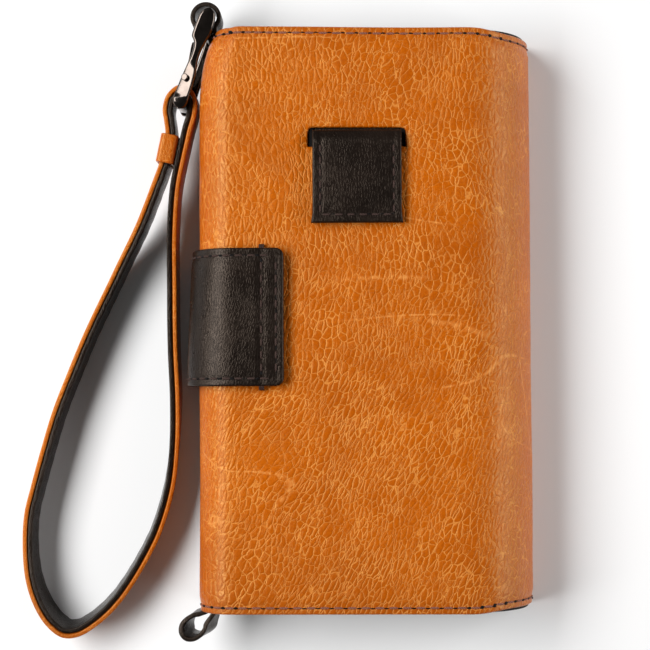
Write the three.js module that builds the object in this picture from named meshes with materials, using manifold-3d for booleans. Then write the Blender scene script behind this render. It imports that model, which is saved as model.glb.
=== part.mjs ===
// Phone wallet case with a wrist strap, closed and lying on its card side. Millimetres, +Z up, +X to the spine,
// +Y to the top of the phone. The origin is on the face it lies on, midway between its edges and its ends.
// Each leather sheet is split where it flexes: at the spine's two folds and at the closure tab's two folds.
import * as THREE from "three";
import { mergeVertices } from "three/addons/utils/BufferGeometryUtils.js";
import Module from "manifold-3d";

const wasm = await Module();
wasm.setup();

// The phone that the case is made for
const PHONE_LENGTH = 142;
const PHONE_WIDTH = 72.5;
const PHONE_THICK = 8.1;

// Sheets and gaps
const COVER = 1.2; // cover leather
const BACK_BOARD = 0.9;
const BACK_LINING = 0.7;
const FRONT_LINING = 0.8;
const POCKET = 0.8; // one card pocket's panel
const POCKETS = 3;
const SHEET_GAP = 0.2; // between glued or stacked sheets
const HALVES_GAP = 0.6; // between the pockets and the tray's rim
const FOLD_GAP = 0.3; // across a fold, measured on the outer face

// Phone tray
const TRAY_WALL = 1.2;
const TRAY_FLOOR = 1.6;
const TRAY_LIP = 1.4; // height of the corner lips
const LIP_REACH = 1.6; // how far they reach over the phone
const TRAY_EDGE = 6; // round along the tray's long edges
const TRAY_CORNER = 9; // round of the tray's corners, in plan
const PHONE_PLAY = 0.5; // phone to tray wall, all round
const PAD = 0.6;
const PORT_WIDTH = 34;
const PORT_HEIGHT = 6.4;

// Outside form
const END_MARGIN = 4; // tray's end to the sewn edge
const SHOULDER = 10; // round of the back cover at the opening edge
const SPINE_FOOT = 4; // round where the spine meets the front cover
const SPINE_FLAT = 1; // upright stretch between the spine's two rounds
const FRONT_SETBACK = 0.8; // front cover's opening edge, inside the back's
const BOARD_SETBACK = 3; // boards end this far inside the sewn ends
const PULLED_CORNER = { along: 23, across: 6.5 }; // corner that the strap has drawn in

// Closure tab
const CLASP_WIDTH = 36;
const CLASP_MIDDLE = 0.5; // along Y
const CLASP_REACH_BACK = 22.2; // from the opening edge, over the back cover
const CLASP_REACH_FRONT = 21.5; // and under the front cover
const CLASP_LAYER = 1.1;
const CLASP_OFF = 0.2; // clearance to the cover
const CLASP_CORNER = 0.8; // inner round at the lower fold, beyond the clearance
const CLASP_LOW = 0.2; // height of the closed end above the resting face
const SEAT_PLAY = 0.6;
const SEAT_PAD = 0.6;
const SEAT_CLEAR = 0.4; // closed tab to its seat
const MAGNET = { across: 12, along: 24, thick: 0.7 };
const STRIKER = { across: 16, along: 30, thick: 0.6 };

// Pull tab and its slot
const TAB_WIDTH = 23.3;
const TAB_LENGTH = 24;
const TAB_LAYER = 0.9;
const TAB_OFF = 0.2;
const TAB_FLARE = 0.4; // corners of the free end
const TAB_X = -2.5;
const SLOT_TOP = 26.1; // below the top edge
const SLOT = { width: 25.6, height: 5.4 };
const ROOT_STRAP = { width: 22, thick: 1.1, length: 14 };

// Strap loops, clip and strap
const LOOP_STRIP = 1.3;
const LOOP_WIDTH = 8;
const LOOP_RISE = 0.6; // above the tray's rim
const CLIP_LENGTH = 23.9; // between its two end posts
const CLIP_HEADING = -107.8; // degrees, from the top post to the lower one
const CLIP_BAND = 1.8;
const POST = { top: 1.4, lower: 1.4 };
const CLIP_PLAY = { above: 0.4, below: 0.6 };
const GATE = { thick: 0.5, height: 4, eye: 1.1, from: 6.9, pivot: 17.5, side: -0.6 };
const RIVET = { shaft: 0.55, head: 0.95, play: 0.15 };
const STRAP_WIDTH = 9;
const STRAP_OUTER = 1.2;
const STRAP_INNER = 1.3;
const STRAP_GAP = 0.2;
const STRAP_FLOOR = 0.3; // the strap's lower edge above the resting face
const STRAP_LIFT = { height: 6.3, from: 69, to: 36.6 }; // raised to the clip, over this stretch below the top
const KEEPER = { length: 7.8, wall: 0.8, play: 0.25, heading: 78.3 };

const ARC_STEPS = 8;
const STRAP_STEPS = 160;

// Heights, from the resting face up
const frontBoardZ = COVER + SHEET_GAP;
const seatZ = CLASP_LOW + 2 * CLASP_LAYER + SHEET_GAP + SEAT_CLEAR;
const frontBoardTop = seatZ + SEAT_PAD;
const frontLiningZ = frontBoardTop + SHEET_GAP;
const pocketsZ = frontLiningZ + FRONT_LINING + SHEET_GAP;
const cardHalfTop = pocketsZ + POCKETS * POCKET + (POCKETS - 1) * SHEET_GAP;
const rimZ = cardHalfTop + HALVES_GAP;
const lipTopZ = rimZ + TRAY_LIP;
const padZ = lipTopZ + PHONE_THICK + PHONE_PLAY;
const trayFloorZ = padZ + PAD + SHEET_GAP;
const trayTopZ = trayFloorZ + TRAY_FLOOR;
const backLiningZ = trayTopZ + FOLD_GAP;
const backBoardZ = backLiningZ + BACK_LINING + SHEET_GAP;
const THICK = backBoardZ + BACK_BOARD + SHEET_GAP + COVER;
const boardInset = COVER + SHEET_GAP;
const liningInset = boardInset + BACK_BOARD + SHEET_GAP;

// Plan: the tray tucks under the spine's large round
const spineRound = THICK - SPINE_FOOT - SPINE_FLAT;
const trayWidth = PHONE_WIDTH + 2 * (PHONE_PLAY + TRAY_WALL);
const trayLength = PHONE_LENGTH + 2 * (PHONE_PLAY + TRAY_WALL);
const underLining = spineRound - liningInset - BACK_LINING - SHEET_GAP - TRAY_EDGE;
const trayEdgeDrop = THICK - trayTopZ + TRAY_EDGE;
const trayUnderRound = Math.sqrt(underLining ** 2 - (spineRound - trayEdgeDrop) ** 2) + TRAY_EDGE;
const WIDTH = COVER + 2 * SHEET_GAP + trayWidth + spineRound - trayUnderRound;
const HALF_LENGTH = trayLength / 2 + END_MARGIN;
const foreEdge = -WIDTH / 2;
const spineEdge = WIDTH / 2;
const trayLeft = foreEdge + COVER + 2 * SHEET_GAP;
const trayMiddle = trayLeft + trayWidth / 2;
const frontEdge = foreEdge + FRONT_SETBACK;
const shoulder = { x: foreEdge + SHOULDER, z: THICK - SHOULDER };
const spine = { x: spineEdge - spineRound, z: THICK - spineRound };
const foot = { x: spineEdge - SPINE_FOOT, z: SPINE_FOOT };

const finish = (color, roughness, metalness = 0) =>
  new THREE.MeshStandardMaterial({ color, roughness, metalness });
const ORANGE = finish(0xc9670f, 0.45);
const BLACK = finish(0x2a2321, 0.5);
const LINING = finish(0x1f1b1a, 0.85);
const BOARD = finish(0x8c7a62, 0.9);
const TRAY = finish(0x232120, 0.6);
const GUNMETAL = finish(0x35302c, 0.25, 1);
const STEEL = finish(0x9a9ca0, 0.35, 1);

const wallet = new THREE.Group();

function solid(geometry) {
  const bare = geometry.index ? geometry.toNonIndexed() : geometry.clone();
  bare.deleteAttribute("normal");
  bare.deleteAttribute("uv");
  const merged = mergeVertices(bare, 1e-4);
  const vertProperties = merged.attributes.position.array;
  const triVerts = new Uint32Array(merged.index.array);
  return new wasm.Manifold(new wasm.Mesh({ numProp: 3, vertProperties, triVerts }));
}

function add(name, body, material) {
  const { vertProperties, triVerts } = body.getMesh();
  const geometry = new THREE.BufferGeometry();
  geometry.setAttribute("position", new THREE.BufferAttribute(vertProperties, 3));
  geometry.setIndex(new THREE.BufferAttribute(triVerts, 1));
  geometry.computeVertexNormals();
  const mesh = new THREE.Mesh(geometry, material);
  mesh.name = name;
  wallet.add(mesh);
}

const box = (x0, x1, y0, y1, z0, z1) =>
  solid(
    new THREE.BoxGeometry(x1 - x0, y1 - y0, z1 - z0).translate((x0 + x1) / 2, (y0 + y1) / 2, (z0 + z1) / 2),
  );

// A plan outline raised from z0 to z1.
const raise = (shape, z0, z1) =>
  solid(
    new THREE.ExtrudeGeometry(shape, { depth: z1 - z0, bevelEnabled: false, curveSegments: ARC_STEPS })
      .translate(0, 0, z0),
  );

// A cross-section drawn in x and z, run along Y from y0 to y1.
const run = (shape, y0, y1) =>
  solid(
    new THREE.ExtrudeGeometry(shape, { depth: y1 - y0, bevelEnabled: false, curveSegments: ARC_STEPS })
      .rotateX(Math.PI / 2)
      .translate(0, y1, 0),
  );

const point = (x, y) => new THREE.Vector2(x, y);

const arc = (centre, radius, from, to) =>
  Array.from({ length: ARC_STEPS + 1 }, (_, i) => {
    const angle = THREE.MathUtils.degToRad(from + ((to - from) * i) / ARC_STEPS);
    return point(centre.x + radius * Math.cos(angle), centre.z + radius * Math.sin(angle));
  });

// The section of a sheet between two faces, each given as a line of points.
const sheet = (face, inset, thick) => new THREE.Shape([...face(inset), ...face(inset + thick).reverse()]);

// Half of a fold's gap, as an angle in degrees at this radius.
const foldAngle = (radius) => THREE.MathUtils.radToDeg(FOLD_GAP / 2 / radius);

function roundedPlan(x0, x1, halfLength, radius) {
  const shape = new THREE.Shape();
  shape.absarc(x1 - radius, halfLength - radius, radius, 0, Math.PI / 2);
  shape.absarc(x0 + radius, halfLength - radius, radius, Math.PI / 2, Math.PI);
  shape.absarc(x0 + radius, radius - halfLength, radius, Math.PI, 1.5 * Math.PI);
  shape.absarc(x1 - radius, radius - halfLength, radius, 1.5 * Math.PI, 2 * Math.PI);
  return shape;
}

// The whole wallet in plan, with the drawn-in corner, as a tall prism that trims the sheets.
function planPrism(inset) {
  const left = foreEdge + inset;
  const top = HALF_LENGTH;
  const shape = new THREE.Shape();
  shape.moveTo(left, -top);
  shape.lineTo(spineEdge + 1, -top);
  shape.lineTo(spineEdge + 1, top);
  shape.lineTo(left + PULLED_CORNER.across, top);
  shape.bezierCurveTo(
    left + 0.4 * PULLED_CORNER.across, top,
    left, top - 0.4 * PULLED_CORNER.along,
    left, top - PULLED_CORNER.along,
  );
  return raise(shape, -1, THICK + 1);
}

// Outer faces of the cover, as lines of points at an inset from the leather's outside
const fold = foldAngle(spineRound);
const footFold = foldAngle(SPINE_FOOT);
const backFace = (inset) => [
  ...arc(spine, spineRound - inset, 45 + fold, 90),
  ...arc(shoulder, SHOULDER - inset, 90, 180),
  point(foreEdge + inset, rimZ),
];
const backInside = (inset) => [
  ...arc(spine, spineRound - inset, 45 + fold, 90),
  point(shoulder.x - 2, THICK - inset),
];
const spineFace = (inset) => [
  ...arc(spine, spineRound - inset, 45 - fold, 0),
  ...arc(foot, SPINE_FOOT - inset, 0, -45 + footFold),
];
const spineInside = (inset) => [
  ...arc(spine, spineRound - inset, 45 - fold, 0),
  point(spineEdge - inset, spine.z - SHEET_GAP),
];
const frontFace = (inset) => [...arc(foot, SPINE_FOOT - inset, -45 - footFold, -90), point(frontEdge, inset)];

const slotY1 = HALF_LENGTH - SLOT_TOP;
const slotY0 = slotY1 - SLOT.height;
const claspY0 = CLASP_MIDDLE - CLASP_WIDTH / 2;
const claspY1 = CLASP_MIDDLE + CLASP_WIDTH / 2;
const seatEnd = foreEdge + CLASP_REACH_FRONT + SEAT_PLAY;
const tabX0 = TAB_X - TAB_WIDTH / 2;
const tabX1 = TAB_X + TAB_WIDTH / 2;
const rootY0 = slotY1 - FOLD_GAP - ROOT_STRAP.thick;

function claspSeat(z0, z1) {
  return box(foreEdge - 1, seatEnd, claspY0 - SEAT_PLAY, claspY1 + SEAT_PLAY, z0, z1);
}

function cardHalf() {
  const plan = planPrism(0);
  const insidePlan = planPrism(FRONT_SETBACK + 1);
  const notch = claspSeat(-1, frontLiningZ);
  const leather = run(sheet(frontFace, 0, COVER), -HALF_LENGTH, HALF_LENGTH);
  add("front_leather", leather.intersect(plan).subtract(notch), ORANGE);

  const boardEnd = HALF_LENGTH - BOARD_SETBACK;
  const board = box(frontEdge + 1, foot.x - SPINE_FOOT, -boardEnd, boardEnd, frontBoardZ, frontBoardTop);
  add("front_board", board.intersect(insidePlan).subtract(notch), BOARD);

  const pad = box(
    frontEdge + 1, seatEnd - FOLD_GAP,
    claspY0 - SEAT_PLAY + FOLD_GAP, claspY1 + SEAT_PLAY - FOLD_GAP,
    seatZ, frontBoardTop,
  );
  add("clasp_seat_pad", pad, BLACK);

  const striker = {
    x0: seatEnd - SEAT_PLAY - 3 - STRIKER.across,
    x1: seatEnd - SEAT_PLAY - 3,
    y0: CLASP_MIDDLE - STRIKER.along / 2,
    y1: CLASP_MIDDLE + STRIKER.along / 2,
  };
  const opening = (play, z0, z1) =>
    box(striker.x0 - play, striker.x1 + play, striker.y0 - play, striker.y1 + play, z0, z1);
  const liningEnd = HALF_LENGTH - FOLD_GAP;
  const lining = box(frontEdge, foot.x, -liningEnd, liningEnd, frontLiningZ, frontLiningZ + FRONT_LINING);
  const liningHole = opening(FOLD_GAP, frontLiningZ - 1, frontLiningZ + FRONT_LINING + 1);
  add("front_lining", lining.intersect(plan).subtract(liningHole), LINING);
  add("striker_plate", opening(0, frontLiningZ, frontLiningZ + STRIKER.thick), STEEL);

  for (let i = 0; i < POCKETS; i++) {
    const z0 = pocketsZ + i * (POCKET + SHEET_GAP);
    const mouth = foot.x - SPINE_FOOT - 2 - 9 * i;
    const end = HALF_LENGTH - 2;
    const panel = box(frontEdge + 1, mouth, -end, end, z0, z0 + POCKET);
    add(`card_pocket_${i + 1}`, panel.intersect(insidePlan), i % 2 ? BLACK : LINING);
  }
}

function spineSheets() {
  add("spine_leather", run(sheet(spineFace, 0, COVER), -HALF_LENGTH, HALF_LENGTH), ORANGE);
  const end = HALF_LENGTH - FOLD_GAP;
  add("spine_lining", run(sheet(spineInside, liningInset, BACK_LINING), -end, end), LINING);
}

function backCover() {
  const plan = planPrism(0);
  const slotX0 = TAB_X - SLOT.width / 2;
  const slot = box(slotX0, slotX0 + SLOT.width, slotY0, slotY1, rimZ, THICK + 1);
  const leather = run(sheet(backFace, 0, COVER), -HALF_LENGTH, HALF_LENGTH);
  add("back_leather", leather.intersect(plan).subtract(slot), ORANGE);

  const boardEnd = HALF_LENGTH - BOARD_SETBACK;
  const board = box(shoulder.x - 1, spine.x + 1, -boardEnd, boardEnd, backBoardZ, backBoardZ + BACK_BOARD);
  const channel = box(
    TAB_X - ROOT_STRAP.width / 2 - FOLD_GAP, TAB_X + ROOT_STRAP.width / 2 + FOLD_GAP,
    slotY0, rootY0 + ROOT_STRAP.length + FOLD_GAP, rimZ, THICK,
  );
  add("back_board", board.subtract(channel), BOARD);

  const liningEnd = HALF_LENGTH - FOLD_GAP;
  add("back_lining", run(sheet(backInside, liningInset, BACK_LINING), -liningEnd, liningEnd), LINING);
}

// The strap that the pull tab hangs on: flat under the leather, then up through the slot.
function pullTab() {
  const section = new THREE.Shape([
    point(rootY0, backBoardZ),
    point(rootY0 + ROOT_STRAP.length, backBoardZ),
    point(rootY0 + ROOT_STRAP.length, backBoardZ + BACK_BOARD),
    point(rootY0 + ROOT_STRAP.thick, backBoardZ + BACK_BOARD),
    point(rootY0 + ROOT_STRAP.thick, THICK - TAB_OFF),
    point(rootY0, THICK - TAB_OFF),
  ]);
  const root = new THREE.ExtrudeGeometry(section, { depth: ROOT_STRAP.width, bevelEnabled: false })
    .rotateX(Math.PI / 2)
    .rotateZ(Math.PI / 2)
    .translate(TAB_X - ROOT_STRAP.width / 2, 0, 0);
  add("pull_tab_root", solid(root), BLACK);

  const top = rootY0 - TAB_OFF;
  const low = top - TAB_LENGTH;
  const plan = new THREE.Shape([
    point(tabX0, top),
    point(tabX0, low + 3),
    point(tabX0 - TAB_FLARE, low),
    point(tabX1 + TAB_FLARE, low),
    point(tabX1, low + 3),
    point(tabX1, top),
  ]);
  const backZ = THICK + TAB_OFF;
  const frontZ = backZ + TAB_LAYER + SHEET_GAP;
  add("pull_tab_back", raise(plan, backZ, backZ + TAB_LAYER), BLACK);
  add("pull_tab_front", raise(plan, frontZ, frontZ + TAB_LAYER), BLACK);
}

// A cradle with rounded long edges, open below, with lips over the phone's corners.
function phoneTray() {
  const x0 = trayLeft;
  const x1 = trayLeft + trayWidth;
  const halfTray = trayLength / 2;
  const edge = (inset, top) => [
    point(x1 - inset, rimZ),
    ...arc({ x: x1 - TRAY_EDGE, z: trayTopZ - TRAY_EDGE }, TRAY_EDGE - inset, 0, 90),
    ...arc({ x: x0 + TRAY_EDGE, z: trayTopZ - TRAY_EDGE }, TRAY_EDGE - inset, 90, 180),
    point(x0 + inset, rimZ),
  ].map((p) => point(p.x, Math.min(p.y, top)));
  const outer = run(new THREE.Shape(edge(0, trayTopZ)), -halfTray, halfTray)
    .intersect(raise(roundedPlan(x0, x1, halfTray, TRAY_CORNER), rimZ, trayTopZ));
  const inside = halfTray - TRAY_WALL;
  const round = TRAY_CORNER - TRAY_WALL;
  const cavityPlan = roundedPlan(x0 + TRAY_WALL, x1 - TRAY_WALL, inside, round);
  const cavity = run(new THREE.Shape(edge(TRAY_WALL, trayFloorZ)), -inside, inside)
    .intersect(raise(cavityPlan, lipTopZ, trayFloorZ));
  const sides = box(x0 + TRAY_WALL, x1 - TRAY_WALL, 18 - inside, inside - 18, rimZ - 1, lipTopZ + 0.1);
  const ends = box(x0 + 18, x1 - 18, -inside, inside, rimZ - 1, lipTopZ + 0.1);
  const corners = raise(
    roundedPlan(x0 + TRAY_WALL + LIP_REACH, x1 - TRAY_WALL - LIP_REACH, inside - LIP_REACH, round),
    rimZ - 1, lipTopZ + 0.1,
  );
  const portZ = (lipTopZ + padZ) / 2;
  const port = box(
    trayMiddle - PORT_WIDTH / 2, trayMiddle + PORT_WIDTH / 2,
    -halfTray - 1, TRAY_WALL + 1 - halfTray, portZ - PORT_HEIGHT / 2, portZ + PORT_HEIGHT / 2,
  );
  const tray = outer.subtract(cavity).subtract(sides).subtract(ends).subtract(corners).subtract(port);
  add("phone_tray", tray, TRAY);

  const padInset = TRAY_WALL + TRAY_EDGE - 2;
  const padPlan = roundedPlan(x0 + padInset, x1 - padInset, halfTray - padInset, round);
  add("phone_pad", raise(padPlan, padZ, padZ + PAD), LINING);
}

// Faces of the closure tab, as lines of points at a distance outside the cover
const claspOutside = CLASP_OFF + 2 * CLASP_LAYER + SHEET_GAP;
const lowFold = { x: foreEdge + CLASP_CORNER, z: CLASP_LOW + claspOutside + CLASP_CORNER };
const upperFoldAngle = foldAngle(SHOULDER);
const lowerFoldAngle = 2 * foldAngle(claspOutside + CLASP_CORNER);
const claspBase = (off) => [
  point(foreEdge + CLASP_REACH_BACK, THICK + off),
  ...arc(shoulder, SHOULDER + off, 90, 135 - upperFoldAngle),
];
const claspWall = (off) => [
  ...arc(shoulder, SHOULDER + off, 135 + upperFoldAngle, 180),
  ...arc(lowFold, off + CLASP_CORNER, 180, 225 - lowerFoldAngle),
];
const claspTip = (off) => [
  ...arc(lowFold, off + CLASP_CORNER, 225 + lowerFoldAngle, 270),
  point(foreEdge + CLASP_REACH_FRONT, CLASP_LOW + claspOutside - off),
];

function closureTab() {
  const outerOff = CLASP_OFF + CLASP_LAYER + SHEET_GAP;
  const stretches = { base: claspBase, wall: claspWall, tip: claspTip };
  const magnetX = foreEdge + CLASP_REACH_FRONT - 3 - MAGNET.across;
  const magnetZ = CLASP_LOW + CLASP_LAYER + SHEET_GAP;
  const magnetBox = (play) =>
    box(
      magnetX - play, magnetX + MAGNET.across + play,
      CLASP_MIDDLE - MAGNET.along / 2 - play, CLASP_MIDDLE + MAGNET.along / 2 + play,
      magnetZ - play, magnetZ + MAGNET.thick + play / 2,
    );
  for (const [stretch, face] of Object.entries(stretches)) {
    const inner = run(sheet(face, CLASP_OFF, CLASP_LAYER), claspY0, claspY1);
    add(`clasp_${stretch}_outer`, run(sheet(face, outerOff, CLASP_LAYER), claspY0, claspY1), BLACK);
    add(`clasp_${stretch}_inner`, stretch === "tip" ? inner.subtract(magnetBox(SHEET_GAP)) : inner, BLACK);
  }
  add("clasp_magnet", magnetBox(0), STEEL);
}

// A strip bent into a loop, standing on edge, with its ends sewn in at the wallet's corner.
const loopZ = rimZ + LOOP_RISE;
function strapLoop(name, centre, radii, turn, tail) {
  const ellipse = (grow) =>
    new THREE.Shape().absellipse(centre.x, centre.y, radii.x + grow, radii.y + grow, 0, 2 * Math.PI, false, turn);
  const z1 = loopZ + LOOP_WIDTH;
  const ring = raise(ellipse(LOOP_STRIP), loopZ, z1).add(raise(new THREE.Shape(tail), loopZ, z1));
  add(name, ring.subtract(raise(ellipse(0), loopZ - 1, z1 + 1)), BLACK);
}

const corner = point(foreEdge, HALF_LENGTH);
const topLoop = point(corner.x + 1.8, corner.y + 4.8);
const lowLoop = point(corner.x - 1.6, -corner.y - 5);
function strapLoops() {
  const tailX0 = corner.x + 2;
  const tailX1 = tailX0 + 2 * LOOP_STRIP;
  strapLoop("loop_top", topLoop, point(2.9, 2.9), 0, [
    point(tailX0, topLoop.y - 2.5), point(tailX0, corner.y - 5.5),
    point(tailX1, corner.y - 5.5), point(tailX1, topLoop.y - 2.5),
  ]);
  strapLoop("loop_bottom", lowLoop, point(4, 3), THREE.MathUtils.degToRad(40), [
    point(tailX1 - 1.4, -corner.y - 3.5), point(tailX1 + 0.2, -corner.y - 1.5), point(tailX1, 5.5 - corner.y),
    point(tailX0, 5.5 - corner.y), point(tailX0, -corner.y - 1),
  ]);
}

// Clip: built along its own length (u) and breadth (v), then turned and set in the top loop.
const topPost = point(topLoop.x + 0.6, topLoop.y - 0.2);
const heading = THREE.MathUtils.degToRad(CLIP_HEADING);
const alongClip = (u, v) =>
  point(
    topPost.x + u * Math.cos(heading) - v * Math.sin(heading),
    topPost.y + u * Math.sin(heading) + v * Math.cos(heading),
  );
const lowerPost = alongClip(CLIP_LENGTH, 0);
const strapZ = STRAP_FLOOR + STRAP_LIFT.height;
const bandZ = Math.max(loopZ + LOOP_WIDTH, strapZ + STRAP_WIDTH) + CLIP_PLAY.above;
const barTopZ = Math.min(loopZ, strapZ) - CLIP_PLAY.below;

function clipPlan(points) {
  const curve = new THREE.CatmullRomCurve3(points.map(([u, v]) => new THREE.Vector3(u, v, 0)), true);
  return new THREE.Shape(curve.getSpacedPoints(4 * ARC_STEPS + 8).slice(0, -1).map((p) => alongClip(p.x, p.y)));
}

function post(place, radius, z0, z1) {
  const cylinder = new THREE.CylinderGeometry(radius, radius, z1 - z0, 20).rotateX(Math.PI / 2);
  return solid(cylinder.translate(place.x, place.y, (z0 + z1) / 2));
}

function clip() {
  const end = CLIP_LENGTH;
  const band = clipPlan([
    [-2.2, 0], [-1.4, 1.8], [0.8, 2.3], [5, 2.1], [8.5, 1.1], [12, 0.9], [15, 1.3], [18, 1.9], [end - 2, 2],
    [end + 1.3, 1.3], [end + 2, 0], [end + 1.3, -1.3], [end - 2, -1.9], [18, -1.8], [15, -1.2], [12, -1.1],
    [9, -1], [7.2, -1.7], [6.6, -2.6], [5, -2.6], [1.5, -2.4], [-1.4, -1.8],
  ]);
  const bar = clipPlan([
    [-1.8, 0], [0, 1.9], [6, 2.1], [18, 2.1], [end, 1.9], [end + 1.8, 0], [end, -1.5], [end - 2.4, 0.5],
    [18, 0.8], [6, 0.8], [2.2, 0.3], [0, -1.6],
  ]);
  const pivot = alongClip(GATE.pivot, GATE.side);
  const frame = raise(band, bandZ, bandZ + CLIP_BAND)
    .add(raise(bar, barTopZ - CLIP_BAND, barTopZ))
    .add(post(topPost, POST.top, barTopZ - 0.5, bandZ + 0.5))
    .add(post(lowerPost, POST.lower, barTopZ - 0.5, bandZ + 0.5))
    .subtract(post(pivot, RIVET.shaft + RIVET.play, bandZ - 1, bandZ + CLIP_BAND + 1));
  add("clip_frame", frame, GUNMETAL);

  const gateZ = (barTopZ + bandZ - GATE.height) / 2;
  const head = RIVET.head;
  const shaft = RIVET.shaft;
  const profile = [
    [0, gateZ - 0.9], [head, gateZ - 0.9], [head, gateZ - RIVET.play], [shaft, gateZ - RIVET.play],
    [shaft, bandZ + CLIP_BAND + RIVET.play], [head, bandZ + CLIP_BAND + RIVET.play],
    [head, bandZ + CLIP_BAND + 0.5], [0, bandZ + CLIP_BAND + 0.5],
  ];
  const rivet = new THREE.LatheGeometry(profile.map(([r, z]) => point(r, z)), 16).rotateX(Math.PI / 2);
  add("gate_rivet", solid(rivet.translate(pivot.x, pivot.y, 0)), GUNMETAL);

  const leaf = new THREE.Shape([
    alongClip(GATE.from, -2.4), alongClip(GATE.from, -2.4 + GATE.thick),
    alongClip(GATE.pivot, GATE.side - 0.3), alongClip(GATE.pivot, GATE.side - 1),
  ]);
  const gate = raise(leaf, gateZ, gateZ + GATE.height)
    .add(post(pivot, GATE.eye, gateZ, gateZ + GATE.height))
    .subtract(post(pivot, shaft + RIVET.play, gateZ - 1, gateZ + GATE.height + 1));
  add("clip_gate", gate, GUNMETAL);
}

// The strap's outer face in plan, from the keeper up round the clip, down one side and back up the other.
// Each pair is measured from the wallet's top corner at the opening edge.
const STRAP_ROUTE = [
  [-9.9, -29.9], [-9.17, -26.37], [-9.5, -23], [-9.9, -19.6], [-8.7, -15.6], [-5.3, -13.1], [-1.9, -14.6],
  [-0.65, -17.8], [-0.9, -21.4], [-2, -25.4], [-3, -29.8], [-4, -34.3], [-5.3, -41], [-6.5, -54.5], [-6.7, -72],
  [-6.5, -84], [-6, -97], [-6.4, -110], [-7.9, -121.6], [-11.2, -132.8], [-14.2, -139.2], [-18.8, -147],
  [-23.2, -152.9], [-28.4, -157.7], [-33.4, -160.6], [-37.4, -160.8], [-41.4, -157.9], [-44.9, -152.6],
  [-47.3, -145.8], [-48.3, -136.7], [-47.9, -128.2], [-46.2, -121], [-43.4, -110.6], [-40.3, -100.3], [-36.3, -90],
  [-31.9, -79.4], [-23.8, -62.6], [-16.9, -49.4], [-12.4, -38.6], [-10.75, -34], [-10.02, -30.48],
];

// The strap rises from the resting face to the clip.
function liftedStrap(geometry) {
  const place = geometry.attributes.position;
  const low = HALF_LENGTH - STRAP_LIFT.from;
  const high = HALF_LENGTH - STRAP_LIFT.to;
  for (let i = 0; i < place.count; i++)
    place.setZ(i, place.getZ(i) + STRAP_LIFT.height * THREE.MathUtils.smoothstep(place.getY(i), low, high));
  return geometry;
}

function wristStrap() {
  const route = STRAP_ROUTE.map(([x, y]) => new THREE.Vector3(corner.x + x, corner.y + y, 0));
  const curve = new THREE.CatmullRomCurve3(route, false, "centripetal");
  const face = (inset) =>
    Array.from({ length: STRAP_STEPS + 1 }, (_, i) => {
      const p = curve.getPointAt(i / STRAP_STEPS);
      const t = curve.getTangentAt(i / STRAP_STEPS);
      return point(p.x + inset * t.y, p.y - inset * t.x);
    });
  const layer = (inset, thick) =>
    solid(
      liftedStrap(
        new THREE.ExtrudeGeometry(sheet(face, inset, thick), { depth: STRAP_WIDTH, bevelEnabled: false })
          .translate(0, 0, STRAP_FLOOR),
      ),
    );
  add("strap_outer", layer(0, STRAP_OUTER), ORANGE);
  add("strap_inner", layer(STRAP_OUTER + STRAP_GAP, STRAP_INNER), BLACK);

  const strapThick = STRAP_OUTER + STRAP_GAP + STRAP_INNER;
  const up = THREE.MathUtils.degToRad(KEEPER.heading);
  const middle = point(
    corner.x - 9.96 + (strapThick / 2) * Math.sin(up),
    corner.y - 30.19 - (strapThick / 2) * Math.cos(up),
  );
  const sleeve = (grow, length) =>
    solid(
      new THREE.BoxGeometry(length, strapThick + 2 * grow, STRAP_WIDTH + 2 * grow)
        .rotateZ(up)
        .translate(middle.x, middle.y, strapZ + STRAP_WIDTH / 2),
    );
  const keeper = sleeve(KEEPER.play + KEEPER.wall, KEEPER.length).subtract(sleeve(KEEPER.play, KEEPER.length + 2));
  add("strap_keeper", keeper, ORANGE);
}

cardHalf();
spineSheets();
backCover();
phoneTray();
pullTab();
closureTab();
strapLoops();
clip();
wristStrap();

export default wallet;
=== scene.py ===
import math

import bmesh
import bpy
import numpy as np
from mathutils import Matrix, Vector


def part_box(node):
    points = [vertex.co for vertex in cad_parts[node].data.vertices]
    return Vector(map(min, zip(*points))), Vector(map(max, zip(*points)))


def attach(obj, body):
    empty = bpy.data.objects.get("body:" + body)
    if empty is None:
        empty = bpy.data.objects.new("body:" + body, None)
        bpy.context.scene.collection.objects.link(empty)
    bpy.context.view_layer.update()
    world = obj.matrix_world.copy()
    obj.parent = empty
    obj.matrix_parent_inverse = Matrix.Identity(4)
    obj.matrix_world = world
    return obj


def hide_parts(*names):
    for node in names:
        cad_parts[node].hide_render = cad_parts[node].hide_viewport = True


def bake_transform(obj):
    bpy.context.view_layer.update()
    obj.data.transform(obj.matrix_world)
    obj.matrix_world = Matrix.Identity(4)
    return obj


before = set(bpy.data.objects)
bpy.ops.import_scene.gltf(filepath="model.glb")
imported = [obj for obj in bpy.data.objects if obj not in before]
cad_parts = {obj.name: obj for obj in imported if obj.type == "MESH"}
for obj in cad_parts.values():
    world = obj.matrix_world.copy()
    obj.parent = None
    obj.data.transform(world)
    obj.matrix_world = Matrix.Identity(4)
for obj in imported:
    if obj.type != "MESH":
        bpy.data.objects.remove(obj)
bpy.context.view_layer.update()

MM = 0.001
UP = np.array([0.0, 0.0, 1.0])
ALONG_Y = np.array([0.0, 1.0, 0.0])

# Places and sizes read from the frame
back_low, back_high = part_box("back_leather")
front_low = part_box("front_leather")[0]
spine_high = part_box("spine_leather")[1]
fore_edge = back_low.x
spine_edge = spine_high.x
top_face = back_high.z
rim = back_low.z
half_length = back_high.y
front_edge = front_low.x

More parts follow.
